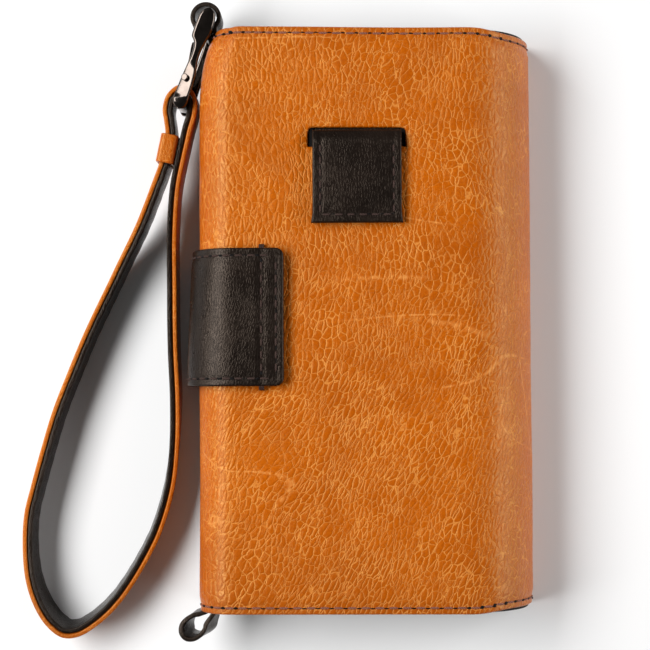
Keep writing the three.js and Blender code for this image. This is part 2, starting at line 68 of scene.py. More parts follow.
# The cover's section, as it was cut and folded
LEATHER = 1.2 * MM
SHOULDER = 10 * MM
SPINE_FOOT = 4 * MM
SPINE_FLAT = 1 * MM
spine_round = top_face - SPINE_FOOT - SPINE_FLAT
spine_x = spine_edge - spine_round
spine_z = top_face - spine_round
foot_x = spine_edge - SPINE_FOOT
shoulder_x = fore_edge + SHOULDER
shoulder_z = top_face - SHOULDER
spine_middle = SPINE_FOOT + SPINE_FLAT / 2
LINING = 0.7 * MM
LINING_INSET = 2.5 * MM
front_lining_low, front_lining_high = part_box("front_lining")

# Steps of the quarter circle that rounds a sheet's edge
EDGE_STEPS = 4

# Sewing
STITCH_PITCH = 3.55 * MM
STITCH_LENGTH = 2.75 * MM
THREAD = 0.29 * MM
EDGE_TO_STITCH = 1.75 * MM
SUNK = 0.02 * MM
PULL_STITCH = 2.3 * MM
POCKET_MARGIN = 1.8 * MM
POCKET_PITCH = 3 * MM


# ---------------------------------------------------------------- shader helpers


def connect(tree, node, inputs):
    """Links each value that is a socket to the node's input, and sets each that isn't."""
    for key, value in inputs.items():
        if isinstance(value, bpy.types.NodeSocket):
            tree.links.new(value, node.inputs[key])
        else:
            node.inputs[key].default_value = value


class Graph:
    """Adds shader nodes to one tree."""

    def __init__(self, tree):
        self.tree = tree

    def add(self, kind, inputs, output=0, **settings):
        node = self.tree.nodes.new("ShaderNode" + kind)
        for key, value in settings.items():
            setattr(node, key, value)
        connect(self.tree, node, inputs)
        return node.outputs[output]

    def math(self, operation, a, b=0.0, c=0.0):
        return self.add("Math", {0: a, 1: b, 2: c}, operation=operation)

    def vector(self, operation, a, b):
        return self.add("VectorMath", {0: a, 1: b}, operation=operation)

    def band(self, value, low, high, to_low=0.0, to_high=1.0):
        """Maps value smoothly: at low it gives to_low, at high to_high."""
        sockets = {0: value, 1: low, 2: high, 3: to_low, 4: to_high}
        return self.add("MapRange", sockets, interpolation_type="SMOOTHSTEP")

    def mix(self, share, a, b):
        return self.add("Mix", {0: share, 6: a, 7: b}, output=2, data_type="RGBA")

    def noise(self, vector, scale, detail=2.0, rough=0.5, output="Fac"):
        sockets = {"Vector": vector, "Scale": scale, "Detail": detail, "Roughness": rough}
        return self.add("TexNoise", sockets, output=output)

    def cells(self, vector, scale, feature="DISTANCE_TO_EDGE"):
        return self.add("TexVoronoi", {"Vector": vector, "Scale": scale}, output="Distance", feature=feature)

    def stretched(self, vector, scale=(1, 1, 1), turn=(0, 0, 0)):
        return self.add("Mapping", {"Vector": vector, "Rotation": turn, "Scale": scale})

    def place(self):
        return self.add("TexCoord", {}, output="Object")

    def bump(self, height, strength, distance):
        return self.add("Bump", {"Strength": strength, "Distance": distance, "Height": height})


def new_group(name, inputs, outputs):
    """A shader node group with named inputs (name, kind, default) and outputs (name, kind)."""
    tree = bpy.data.node_groups.new(name, "ShaderNodeTree")
    for label, kind, default in inputs:
        socket = tree.interface.new_socket(name=label, in_out="INPUT", socket_type=kind)
        if default is not None:
            socket.default_value = default
    for label, kind in outputs:
        tree.interface.new_socket(name=label, in_out="OUTPUT", socket_type=kind)
    start = tree.nodes.new("NodeGroupInput")
    end = tree.nodes.new("NodeGroupOutput")
    return tree, Graph(tree), start.outputs, end.inputs


def use_group(graph, group, inputs):
    """Places a node group in a graph and gives its outputs."""
    node = graph.tree.nodes.new("ShaderNodeGroup")
    node.node_tree = group
    connect(graph.tree, node, inputs)
    return node.outputs


def new_material(name, **constants):
    """A material with one Principled shader, whose constants are set on its own sockets."""
    material = bpy.data.materials.new(name)
    material.use_nodes = True
    tree = material.node_tree
    tree.nodes.clear()
    shader = tree.nodes.new("ShaderNodeBsdfPrincipled")
    output = tree.nodes.new("ShaderNodeOutputMaterial")
    tree.links.new(shader.outputs[0], output.inputs["Surface"])
    for key, value in constants.items():
        shader.inputs[key.replace("_", " ")].default_value = value
    return material, Graph(tree), shader


def feed(graph, shader, **sockets):
    """Links values to the shader's own inputs."""
    for key, value in sockets.items():
        graph.tree.links.new(value, shader.inputs[key.replace("_", " ")])


def leather_grain_group():
    """Pebbled hide: narrow cells drawn along the back, creases on their borders, finer creases, and hair
    pores. Towards the foot the cells lean over: x gains the lean times half of (y less the root of y
    squared plus 20 mm squared), which is nothing high up and the whole lean low down."""
    tree, g, given, out = new_group(
        "hide_grain",
        [
            ("Place", "NodeSocketVector", None),
            ("Cells per metre", "NodeSocketFloat", 430.0),
            ("Crease width", "NodeSocketFloat", 0.09),
            ("Lean", "NodeSocketFloat", 0.0),
        ],
        [
            ("Height", "NodeSocketFloat"),
            ("Crease", "NodeSocketFloat"),
            ("Fine crease", "NodeSocketFloat"),
            ("Pore", "NodeSocketFloat"),
        ],
    )
    y = g.add("SeparateXYZ", {0: given["Place"]}, output="Y")
    bent = g.math("SUBTRACT", g.math("SQRT", g.math("MULTIPLY_ADD", y, y, 0.0004)), y)
    shift = g.math("MULTIPLY", g.math("MULTIPLY", bent, 0.5), given["Lean"])
    leaned = g.vector("ADD", given["Place"], g.add("CombineXYZ", {0: shift, 1: 0.0, 2: 0.0}))
    slow = g.noise(given["Place"], 26.0, 1.0, output="Color")
    slow = g.vector("SUBTRACT", slow, (0.5, 0.5, 0.5))
    bow = g.vector("MULTIPLY", slow, (0.016, 0.006, 0.006))
    quick = g.noise(given["Place"], 430.0, 2.0, output="Color")
    quick = g.vector("SUBTRACT", quick, (0.5, 0.5, 0.5))
    wobble = g.vector("MULTIPLY", quick, (0.0008, 0.0015, 0.0008))
    warped = g.vector("ADD", g.vector("ADD", leaned, bow), wobble)
    drawn = g.vector("MULTIPLY", warped, (1.0, 0.52, 1.0))
    border = g.cells(drawn, given["Cells per metre"])
    worn = g.band(g.noise(given["Place"], 150.0, 3.0), 0.35, 0.65, 0.45, 1.15)
    width = g.math("MULTIPLY", given["Crease width"], worn)
    crease = g.math("SUBTRACT", 1.0, g.band(border, 0.0, width))
    fine_scale = g.math("MULTIPLY", given["Cells per metre"], 1.75)
    fine_border = g.cells(drawn, fine_scale)
    fine = g.math("SUBTRACT", 1.0, g.band(fine_border, 0.0, width))
    fine = g.math("MULTIPLY", fine, g.band(g.noise(given["Place"], 240.0, 1.0), 0.44, 0.60))
    pore_scale = g.math("MULTIPLY", given["Cells per metre"], 4.6)
    pore = g.cells(warped, pore_scale, feature="F1")
    pore = g.math("SUBTRACT", 1.0, g.band(pore, 0.10, 0.36))
    pore = g.math("MULTIPLY", pore, g.band(g.noise(given["Place"], 900.0, 1.0), 0.42, 0.58))
    dome = g.band(border, 0.0, 0.34)
    height = g.math("MULTIPLY_ADD", crease, -0.8, dome)
    height = g.math("MULTIPLY_ADD", fine, -0.35, height)
    height = g.math("MULTIPLY_ADD", pore, -0.35, height)
    height = g.math("MULTIPLY_ADD", g.noise(given["Place"], 3200.0, 2.0), 0.35, height)
    for label, value in (("Height", height), ("Crease", crease), ("Fine crease", fine), ("Pore", pore)):
        tree.links.new(value, out[label])
    return tree


hide_grain = leather_grain_group()


def orange_leather(name, cells, crease_width, relief):
    """Waxed pull-up leather: pale creases, a mottled tan-orange ground with painted shade towards the foot,
    darker ends, and a few long scratches."""
    material, g, shader = new_material(
        name, IOR=1.48, Coat_Roughness=0.20, Coat_Weight=0.05, Specular_IOR_Level=0.62,
        Specular_Tint=(1.0, 0.78, 0.28, 1.0),
    )
    place = g.place()
    grain = use_group(
        g, hide_grain, {"Place": place, "Cells per metre": cells, "Crease width": crease_width, "Lean": 0.42}
    )
    mottle = g.noise(place, 42.0, 4.0, 0.6)
    ground = g.mix(g.band(mottle, 0.30, 0.72), (0.430, 0.084, 0.0002, 1), (0.535, 0.112, 0.0003, 1))
    speckle = g.band(g.noise(place, 1700.0, 3.0, 0.75), 0.38, 0.64)
    ground = g.mix(g.math("MULTIPLY", speckle, 0.50), ground, (0.330, 0.050, 0.0006, 1))
    length = g.add("SeparateXYZ", {0: place}, output="Y")
    # Painted shade: the ground darkens towards the foot, below y = -46 mm, where less light falls; it also
    # darkens from 72.5 mm out at both ends.
    foot_shade_and_dark_ends = g.band(length, -0.080, -0.046, 0.34, 0.0)
    foot_shade_and_dark_ends = g.math("ADD", foot_shade_and_dark_ends, g.band(g.math("ABSOLUTE", length), 0.0725, 0.0765, 0.0, 0.26))
    ground = g.mix(foot_shade_and_dark_ends, ground, (0.300, 0.058, 0.0025, 1))
    pull = g.band(g.noise(place, 70.0, 2.0), 0.30, 0.64, 0.24, 0.68)
    pale = g.math("MULTIPLY", grain["Crease"], pull)
    colour = g.mix(pale, ground, (0.740, 0.290, 0.058, 1))
    colour = g.mix(g.math("MULTIPLY", grain["Fine crease"], 0.34), colour, (0.620, 0.175, 0.018, 1))
    colour = g.mix(g.math("MULTIPLY", grain["Pore"], 0.50), colour, (0.210, 0.032, 0.0006, 1))
    scratch = scratches(g, place)
    colour = g.mix(g.math("MULTIPLY", scratch, 0.60), colour, (0.780, 0.300, 0.070, 1))
    gloss = g.band(g.noise(place, 300.0, 3.0), 0.3, 0.7, 0.29, 0.38)
    gloss = g.math("MULTIPLY_ADD", grain["Crease"], 0.10, gloss)
    normal = g.bump(grain["Height"], 0.50, relief)
    feed(g, shader, Base_Color=colour, Roughness=gloss, Normal=normal)
    return material


def scratches(g, place):
    """Long thin lines: places where a noise stretched along one direction passes its middle value."""
    total = None
    for turn, scale, low, high in ((-24, 21.0, 0.53, 0.60), (14, 17.0, 0.56, 0.62), (-62, 15.0, 0.58, 0.64)):
        drawn = g.stretched(place, scale=(0.22, 1.0, 1.0), turn=(0, 0, math.radians(turn)))
        field = g.noise(drawn, scale, 1.0)
        away = g.math("ABSOLUTE", g.math("SUBTRACT", field, 0.5))
        line = g.math("SUBTRACT", 1.0, g.band(away, 0.0, 0.0028))
        patch = g.band(g.noise(place, scale * 1.6, 0.0), low, high)
        worn = g.band(g.noise(place, 500.0, 2.0), 0.35, 0.60)
        one = g.math("MULTIPLY", g.math("MULTIPLY", line, patch), worn)
        total = one if total is None else g.math("MAXIMUM", total, one)
    return total


def black_leather():
    """Brown-black fine-grain leather with a soft wax shine."""
    material, g, shader = new_material(
        "black_fine_leather", IOR=1.46, Coat_Roughness=0.28, Coat_Weight=0.04, Specular_IOR_Level=0.28,
        Specular_Tint=(1.0, 0.78, 0.62, 1.0),
    )
    place = g.place()
    grain = use_group(
        g, hide_grain, {"Place": place, "Cells per metre": 1500.0, "Crease width": 0.18, "Lean": 0.15}
    )
    mottle = g.band(g.noise(place, 90.0, 3.0), 0.3, 0.7)
    colour = g.mix(mottle, (0.0050, 0.0032, 0.0024, 1), (0.0110, 0.0070, 0.0052, 1))
    colour = g.mix(g.math("MULTIPLY", grain["Crease"], 0.55), colour, (0.0050, 0.0032, 0.0026, 1))
    gloss = g.band(g.noise(place, 420.0, 3.0), 0.3, 0.7, 0.27, 0.36)
    normal = g.bump(grain["Height"], 0.50, 0.00005)
    feed(g, shader, Base_Color=colour, Roughness=gloss, Normal=normal)
    return material


def suede_lining():
    """Black microsuede: short nap, matte, with a faint pile direction."""
    material, g, shader = new_material(
        "black_suede", Sheen_Weight=0.06, Sheen_Roughness=0.5, Roughness=0.95,
        Specular_IOR_Level=0.2,
    )
    place = g.place()
    nap = g.noise(place, 3200.0, 3.0, 0.7)
    brush = g.noise(g.stretched(place, scale=(1.0, 0.35, 1.0)), 160.0, 3.0)
    colour = g.mix(brush, (0.008, 0.0065, 0.0060, 1), (0.022, 0.0185, 0.0165, 1))
    colour = g.mix(g.math("MULTIPLY", nap, 0.35), colour, (0.034, 0.029, 0.026, 1))
    feed(g, shader, Base_Color=colour, Normal=g.bump(nap, 0.5, 0.00012))
    return material


def binders_board():
    """Pressed grey-brown fibre board with short fibres."""
    material, g, shader = new_material("pressed_board", Roughness=0.9)
    place = g.place()
    fibres = g.noise(g.stretched(place, scale=(1.0, 1.0, 6.0)), 700.0, 4.0, 0.7)
    colour = g.mix(g.band(fibres, 0.3, 0.7), (0.185, 0.140, 0.095, 1), (0.330, 0.270, 0.200, 1))
    feed(g, shader, Base_Color=colour, Normal=g.bump(fibres, 0.5, 0.00012))
    return material


def tray_plastic():
    """Black moulded plastic with a fine spark-eroded texture."""
    material, g, shader = new_material("black_moulded_plastic", IOR=1.49)
    place = g.place()
    spark = g.noise(place, 2200.0, 2.0, 0.6)
    colour = g.mix(spark, (0.010, 0.0095, 0.0092, 1), (0.020, 0.0190, 0.0185, 1))
    gloss = g.band(g.noise(place, 90.0, 3.0), 0.3, 0.7, 0.46, 0.60)
    feed(g, shader, Base_Color=colour, Roughness=gloss, Normal=g.bump(spark, 0.35, 0.00006))
    return material


def metal(name, dark, light, rough_low, rough_high):
    """Plated metal: a slight cloudiness and fine hairline scratches along the clip."""
    material, g, shader = new_material(name, Metallic=1.0)
    place = g.place()
    cloud = g.band(g.noise(place, 260.0, 3.0), 0.3, 0.7)
    hair = g.noise(g.stretched(place, scale=(1.0, 0.12, 1.0)), 2600.0, 3.0, 0.7)
    colour = g.mix(cloud, dark, light)
    gloss = g.math("MULTIPLY_ADD", hair, 0.05, g.band(cloud, 0.0, 1.0, rough_low, rough_high))
    feed(g, shader, Base_Color=colour, Roughness=gloss, Normal=g.bump(hair, 0.05, 0.00002))
    return material


def thread_material(name, dark, light):
    """Twisted waxed thread: plies run slantwise across each stitch."""
    material, g, shader = new_material(name, Roughness=0.7, Specular_IOR_Level=0.2)
    turned = g.stretched(g.place(), turn=(0, 0, math.radians(35)))
    sockets = {"Vector": turned, "Scale": 900.0, "Distortion": 1.0, "Detail": 1.0}
    plies = g.add("TexWave", sockets, output="Fac")
    feed(g, shader, Base_Color=g.mix(plies, dark, light), Normal=g.bump(plies, 0.8, 0.0001))
    return material


def floor_material():
    """Plain pale paper."""
    material, g, shader = new_material("pale_paper", Roughness=0.9)
    tone = g.noise(g.place(), 8.0, 2.0)
    feed(g, shader, Base_Color=g.mix(tone, (0.86, 0.86, 0.86, 1), (0.88, 0.88, 0.88, 1)))
    return material


ORANGE = orange_leather("orange_pull_up_leather", 700.0, 0.080, 0.00018)
STRAP_ORANGE = orange_leather("orange_strap_leather", 1250.0, 0.060, 0.00006)
BLACK = black_leather()
SUEDE = suede_lining()
BOARD = binders_board()
PLASTIC = tray_plastic()
GUNMETAL = metal("gunmetal_plate", (0.072, 0.058, 0.050, 1), (0.110, 0.090, 0.078, 1), 0.06, 0.13)
NICKEL = metal("nickel_plate", (0.46, 0.46, 0.47, 1), (0.58, 0.58, 0.59, 1), 0.25, 0.38)
MAUVE_THREAD = thread_material("mauve_brown_thread", (0.100, 0.032, 0.020, 1), (0.360, 0.150, 0.105, 1))
BLACK_THREAD = thread_material("black_thread", (0.003, 0.002, 0.0015, 1), (0.020, 0.012, 0.010, 1))
BROWN_THREAD = thread_material("brown_black_thread", (0.012, 0.007, 0.006, 1), (0.085, 0.048, 0.038, 1))
# Near-black painted shade, for the dark inside of the needle holes and of the slot
HOLE_SHADE = thread_material("needle_hole_shade", (0.0015, 0.0010, 0.0010, 1), (0.0040, 0.0025, 0.0020, 1))


# ---------------------------------------------------------------- mesh helpers


def make_piece(name, points, faces, material):
    """A smooth mesh object at the origin, with coincident points joined."""
    mesh = bpy.data.meshes.new(name)
    mesh.from_pydata(np.asarray(points).reshape(-1, 3).tolist(), [], [list(map(int, f)) for f in faces])
    work = bmesh.new()
    work.from_mesh(mesh)
    bmesh.ops.remove_doubles(work, verts=work.verts, dist=1e-7)
    bmesh.ops.dissolve_degenerate(work, dist=1e-7, edges=work.edges)
    work.to_mesh(mesh)
    work.free()
    mesh.shade_smooth()
    mesh.materials.append(material)
    piece = bpy.data.objects.new(name, mesh)
    bpy.context.scene.collection.objects.link(piece)
    return piece


def grid_faces(rows, columns, start=0, flip=False, keep=None, closed=False):
    """Four-cornered faces between the points of a grid stored row by row. closed joins the last column to
    the first."""
    across = columns if closed else columns - 1
    row, column = np.meshgrid(np.arange(rows - 1), np.arange(across), indexing="ij")
    after = (column + 1) % columns
    this, following = row * columns, (row + 1) * columns
    corners = [this + column, this + after, following + after, following + column]
    faces = np.stack([c.ravel() for c in (corners[::-1] if flip else corners)], axis=1) + start
    return faces if keep is None else faces[keep.ravel()]


def arc(x, z, radius, start, end):
    """Points on an arc in the x-z plane, one for each two degrees."""
    angle = np.radians(np.linspace(start, end, int(abs(end - start) / 2) + 1))
    return np.stack([x + radius * np.cos(angle), z + radius * np.sin(angle)], axis=1)


def run(start, end):
    """Points along a straight line, about one for each millimetre."""
    count = max(2, int(math.dist(start, end) / MM) + 1)
    return np.linspace(start, end, count)


class Path:
    """A line in a plane measured by its own length. Its outward side is on the left of its direction."""

    def __init__(self, *stretches):
        points = np.concatenate(stretches)
        step = np.linalg.norm(np.diff(points, axis=0), axis=1)
        self.points = points[np.append(True, step > 1e-7)]
        self.measure = np.append(0.0, np.cumsum(np.linalg.norm(np.diff(self.points, axis=0), axis=1)))
        self.length = self.measure[-1]
        self.heading = unit(np.gradient(self.points, self.measure, axis=0))

    def at(self, lengths):
        """Points and outward directions at these lengths."""
        def read(values):
            return np.stack([np.interp(lengths, self.measure, values[:, i]) for i in range(2)], axis=-1)

        heading = unit(read(self.heading))
        return read(self.points), np.stack([-heading[..., 1], heading[..., 0]], axis=-1)


def spread(marks, pitch, edge):
    """Stations through all the marks. They crowd together next to each mark as the points of a quarter
    circle do, and stand about one pitch apart elsewhere."""
    corner = edge * (1 - np.cos(np.linspace(0, np.pi / 2, EDGE_STEPS + 1)))
    stations = []
    for start, end in zip(marks, marks[1:]):
        count = max(2, int((end - start - 2 * edge) / pitch) + 1)
        middle = np.linspace(start + edge, end - edge, count)
        stations += [start + corner[:-1], middle, end - corner[:-1][::-1]]
    return np.unique(np.concatenate(stations).round(9))


def crown(distance, edge):
    """Height of a rounded edge: a quarter circle over the first stretch from the edge, then level at 1."""
    share = 1 - np.clip(distance / edge, 0, 1)
    return np.sqrt(np.clip(1 - share * share, 0, 1))


def unit(vectors):
    """Rows of vectors brought to length 1."""
    return vectors / np.linalg.norm(vectors, axis=-1)[..., None]


def smooth(value, low, high):
    """0 up to low, 1 from high on, and a smooth rise between."""
    share = np.clip((value - low) / (high - low), 0, 1)
    return share * share * (3 - 2 * share)


def drift(x, y, size, seed):
    """Smooth irregular height between about -1 and 1: eight sine waves in seeded directions, added up."""
    random = np.random.default_rng(seed)
    total = 0.0
    for _ in range(8):
        angle, phase = random.uniform(0, 2 * np.pi, 2)
        pace = 2 * np.pi / (size * random.uniform(0.6, 1.6))
        total = total + np.sin(pace * (x * np.cos(angle) + y * np.sin(angle)) + phase)
    return total / 4


def sheet(name, path, y_marks, thick, material, inset=0.0, s_marks=None, hole=None, relief=None, bend=None,
          open_ends=(False, False), pitch=1.0 * MM, edge=None):
    """A soft sheet that follows a path and runs along y. Each point is the path's point, moved in by the
    inset and half the thickness, then out or in by half the thickness times the crown of its distance
    from the nearest edge. relief(s, y) lifts it, and bend(points, y, depth) moves finished points;
    depth is 0 outside and 1 inside."""
    edge = edge or thick / 2
    s_marks = s_marks or [0.0, path.length]
    s = spread(s_marks, pitch, edge)
    y = spread(y_marks, pitch, edge)
    grid_s, grid_y = np.meshgrid(s, y, indexing="ij")
    place, out = path.at(grid_s)
    to_edge = np.minimum(grid_y - y[0], y[-1] - grid_y)
    height = crown(to_edge, edge)
    if not open_ends[0]:
        height = height * crown(grid_s - s[0], edge)
    if not open_ends[1]:
        height = height * crown(s[-1] - grid_s, edge)
    keep = None
    if hole is not None:
        (hole_s0, hole_s1), (hole_y0, hole_y1) = hole
        past_s = np.maximum(hole_s0 - grid_s, grid_s - hole_s1)
        past_y = np.maximum(hole_y0 - grid_y, grid_y - hole_y1)
        gap = np.where((past_s > 0) & (past_y > 0), np.hypot(past_s, past_y), np.maximum(past_s, past_y))
        height = height * crown(np.maximum(gap - 0.001 * MM, 0), edge)
        middle_s = (grid_s[1:, 1:] + grid_s[:-1, :-1]) / 2
        middle_y = (grid_y[1:, 1:] + grid_y[:-1, :-1]) / 2
        inside = (middle_s > hole_s0) & (middle_s < hole_s1) & (middle_y > hole_y0) & (middle_y < hole_y1)
        keep = ~inside
    lift = relief(grid_s, grid_y) if relief else 0.0
    faces_out = []
    for side in (1, -1):
        offset = -inset - thick / 2 + side * height * thick / 2 + lift
        flat = place + out * offset[..., None]
        points = np.stack([flat[..., 0], grid_y, flat[..., 1]], axis=-1)
        if bend:
            points = bend(points, grid_y, (1 - side * height) / 2)
        faces_out.append(points.reshape(-1, 3))
    rows, columns = grid_s.shape
    total = rows * columns
    faces = [
        grid_faces(rows, columns, 0, flip=True, keep=keep),
        grid_faces(rows, columns, total, flip=False, keep=keep),
    ]
    for is_open, row in ((open_ends[0], 0), (open_ends[1], rows - 1)):
        if is_open:
            first = row * columns + np.arange(columns - 1)
            wall = np.stack([first, first + 1, first + 1 + total, first + total], axis=1)
            faces.append(wall if row == 0 else wall[:, ::-1])
    return make_piece(name, np.concatenate(faces_out), np.concatenate(faces), material)


def four_corners(steps):
    """Angles round a rounded rectangle, and the sign of x and y of the corner that each belongs to."""
    angle = np.radians(np.arange(4)[:, None] * 90 + np.linspace(0, 90, steps)[None, :]).ravel()
    return angle, np.repeat([1, -1, -1, 1], steps), np.repeat([1, 1, -1, -1], steps)


def bar(name, centre, across, up, width, height, rounding, material, closed=False):
    """A rounded-rectangle profile carried along a path. A profile point is a corner's centre, half the
    width and height from the middle less the rounding, plus the rounding times the cosine and sine of
    its angle. At the ends of an open path the profile draws in by a quarter circle and a flat cap
    closes it."""
    angle, sign_x, sign_y = four_corners(5)
    count = len(centre)
    width = np.broadcast_to(np.asarray(width, float), (count,)).copy()
    height = np.broadcast_to(np.asarray(height, float), (count,)).copy()
    across, up = np.broadcast_to(across, (count, 3)), np.broadcast_to(up, (count, 3))
    rounding = np.broadcast_to(np.asarray(rounding, float), (count,)).copy()
    if not closed:
        quarter = np.linspace(0, np.pi / 2, 4)[1:]
        draw = rounding[0] * (1 - np.cos(quarter))
        ahead = rounding[0] * np.sin(quarter)
        first = centre[0] - centre[1]
        last = centre[-1] - centre[-2]
        first, last = unit(first), unit(last)
        start = centre[0] + first * (ahead[::-1, None] - rounding[0])
        end = centre[-1] + last * (ahead[:, None] - rounding[0])
        body = centre.copy()
        body[0] = centre[0] - first * rounding[0]
        body[-1] = centre[-1] - last * rounding[0]
        centre = np.concatenate([start, body, end])
        shrink = np.concatenate([draw[::-1], np.zeros(count), draw])
        pad = ((3, 3), (0, 0))
        across, up = np.pad(across, pad, mode="edge"), np.pad(up, pad, mode="edge")
        width = np.pad(width, 3, mode="edge") - 2 * shrink
        height = np.pad(height, 3, mode="edge") - 2 * shrink
        rounding = np.maximum(np.pad(rounding, 3, mode="edge") - shrink, 1e-5)
    local_x = sign_x * (width / 2 - rounding)[:, None] + rounding[:, None] * np.cos(angle)
    local_y = sign_y * (height / 2 - rounding)[:, None] + rounding[:, None] * np.sin(angle)
    points = centre[:, None] + local_x[..., None] * across[:, None] + local_y[..., None] * up[:, None]
    rows, columns = points.shape[:2]
    faces = grid_faces(rows, columns, closed=True).tolist()
    if closed:
        last_row = (rows - 1) * columns + np.arange(columns)
        first_row = np.arange(columns)
        joined = np.stack([last_row, np.roll(last_row, -1), np.roll(first_row, -1), first_row], axis=1)
        faces += joined.tolist()
    else:
        faces += [list(range(columns))[::-1], list(range((rows - 1) * columns, rows * columns))]
    piece = make_piece(name, points, faces, material)
    return outward(piece)


def outward(piece):
    """Turns every face of a closed piece outwards."""
    work = bmesh.new()
    work.from_mesh(piece.data)
    bmesh.ops.recalc_face_normals(work, faces=work.faces)
    work.to_mesh(piece.data)
    work.free()
    return piece


def plate(name, outline, low, high, edge, material):
    """A flat piece cut to a closed outline. Its edge is a quarter circle of rings above and below: each
    ring is the outline moved in by the rounding less its sine share, and the last ring carries a flat
    face."""
    following = np.roll(outline, -1, axis=0)
    before = np.roll(outline, 1, axis=0)
    heading = unit(following - before)
    area = np.sum(outline[:, 0] * following[:, 1] - outline[:, 1] * following[:, 0])
    inward = np.stack([-heading[:, 1], heading[:, 0]], axis=1) * np.sign(area)
    quarter = np.linspace(0, np.pi / 2, 5)
    rings = [(edge * (1 - math.cos(a)), low + edge * (1 - math.sin(a))) for a in quarter[::-1]]
    rings += [(edge * (1 - math.cos(a)), high - edge * (1 - math.sin(a))) for a in quarter]
    inner = edge + 0.25 * MM
    rings = [(inner, low)] + rings + [(inner, high)]
    points = np.concatenate([
        np.column_stack([outline + inward * draw, np.full(len(outline), z)]) for draw, z in rings
    ])
    rows, columns = len(rings), len(outline)
    faces = grid_faces(rows, columns, closed=True).tolist()
    faces += [list(range(columns)), list(range((rows - 1) * columns, rows * columns))]
    return outward(make_piece(name, points, faces, material))


def through(points, count, closed=False):
    """A smooth curve through the points, by the centripetal Catmull-Rom formula, resampled at even
    lengths."""
    p = np.asarray(points, float)
    if closed:
        p = np.concatenate([p[-1:], p, p[:2]])
    else:
        p = np.concatenate([[2 * p[0] - p[1]], p, [2 * p[-1] - p[-2]]])
    share = np.linspace(0, 1, 24, endpoint=False)[:, None]
    dense = []
    for a, b, c, d in zip(p, p[1:], p[2:], p[3:]):
        knots = np.cumsum([0.0] + [np.linalg.norm(j - i) ** 0.5 for i, j in ((a, b), (b, c), (c, d))])
        t0, t1, t2, t3 = knots
        t = t1 + share * (t2 - t1)
        a1 = (t1 - t) / (t1 - t0) * a + (t - t0) / (t1 - t0) * b
        a2 = (t2 - t) / (t2 - t1) * b + (t - t1) / (t2 - t1) * c
        a3 = (t3 - t) / (t3 - t2) * c + (t - t2) / (t3 - t2) * d
        b1 = (t2 - t) / (t2 - t0) * a1 + (t - t0) / (t2 - t0) * a2
        b2 = (t3 - t) / (t3 - t1) * a2 + (t - t1) / (t3 - t1) * a3
        dense.append((t2 - t) / (t2 - t1) * b1 + (t - t1) / (t2 - t1) * b2)
    dense = np.concatenate(dense + [p[1:2] if closed else p[-2:-1]])
    measure = np.append(0, np.cumsum(np.linalg.norm(np.diff(dense, axis=0), axis=1)))
    even = np.linspace(0, measure[-1], count, endpoint=not closed)
    return np.stack([np.interp(even, measure, dense[:, i]) for i in range(dense.shape[1])], axis=1)


def stitches(name, centre, along, up, material, length=STITCH_LENGTH, radius=THREAD, rise=0.10 * MM):
    """Saddle stitches: each is a thread bent into a low arch. Along a stitch the middle line rises as one
    minus the square of the way from its middle, its ends dive below the leather, and a circle of the
    thread's radius is carried along it."""
    rings, sides = 9, 8
    way = np.linspace(-1, 1, rings)
    arch = rise * (1 - way**2) - 1.6 * radius * way**6
    side = np.cross(up, along)
    spine = (
        centre[:, None]
        + along[:, None] * (way * length / 2)[None, :, None]
        + up[:, None] * arch[None, :, None]
    )
    turn = np.linspace(0, 2 * np.pi, sides, endpoint=False)
    belly = radius * (1 - 0.25 * way**2)
    ring = (
        side[:, None, None] * (belly[:, None] * np.cos(turn))[None, :, :, None]
        + up[:, None, None] * (belly[:, None] * np.sin(turn))[None, :, :, None]
    )
    points = spine[:, :, None] + ring
    each = rings * sides
    one = grid_faces(rings, sides, closed=True).tolist()
    one += [list(range(sides))[::-1], list(range(each - sides, each))]
    faces = [[i + n * each for i in face] for n in range(len(centre)) for face in one]
    return outward(make_piece(name, points, faces, material))


def needle_hole_shades(name, centre, along, up, material, length=STITCH_LENGTH):
    """A small dark oval at each end of each stitch, lying just on the leather, drawn out along the seam:
    painted shade for the dark inside of each needle hole.
    """
    sides = 8
    turn = np.linspace(0, 2 * np.pi, sides, endpoint=False)
    across = np.cross(up, along)
    ends = np.concatenate([centre + along * length * 0.60, centre - along * length * 0.60])
    along2, across2, up2 = (np.concatenate([v, v]) for v in (along, across, up))
    rim_points = (
        ends[:, None]
        + along2[:, None] * (0.52 * MM * np.cos(turn))[None, :, None]
        + across2[:, None] * (0.33 * MM * np.sin(turn))[None, :, None]
        + up2[:, None] * 0.06 * MM
    )
    low_points = rim_points - up2[:, None] * 0.35 * MM
    points = np.concatenate([rim_points, low_points], axis=1)
    one = [list(range(sides)), list(range(sides, 2 * sides))[::-1]]
    one += [[i, i + sides, (i + 1) % sides + sides, (i + 1) % sides] for i in range(sides)]
    faces = [[i + n * 2 * sides for i in face] for n in range(len(ends)) for face in one]
    return outward(make_piece(name, points, faces, material))


def centred(count, pitch):
    """Evenly spaced places, centred on zero."""
    return (np.arange(count) - (count - 1) / 2) * pitch


def vertical(array_2d, y):
    """x-z pairs and a y value made into points or directions in space."""
    return np.stack([array_2d[:, 0], np.broadcast_to(y, len(array_2d)), array_2d[:, 1]], axis=1)


# ---------------------------------------------------------------- cover

tab_low, tab_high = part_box("pull_tab_front")
tab_under_low, tab_under_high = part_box("pull_tab_back")
root_low, root_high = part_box("pull_tab_root")
slot_x = (root_low.x - 1.8 * MM, root_high.x + 1.8 * MM)
slot_y = (root_low.y - 4.0 * MM, root_low.y + 1.0 * MM)
clasp_low, clasp_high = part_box("clasp_base_outer")
tip_low, tip_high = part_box("clasp_tip_outer")
board_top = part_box("back_board")[1].z

CORNER_DRAW = 4.1 * MM
CORNER_RISE = 0.75 * MM
CORNER_LENGTH = 23 * MM
FOLD_DRAW = 1.05 * MM
SLOT_ROUND = 1.1 * MM


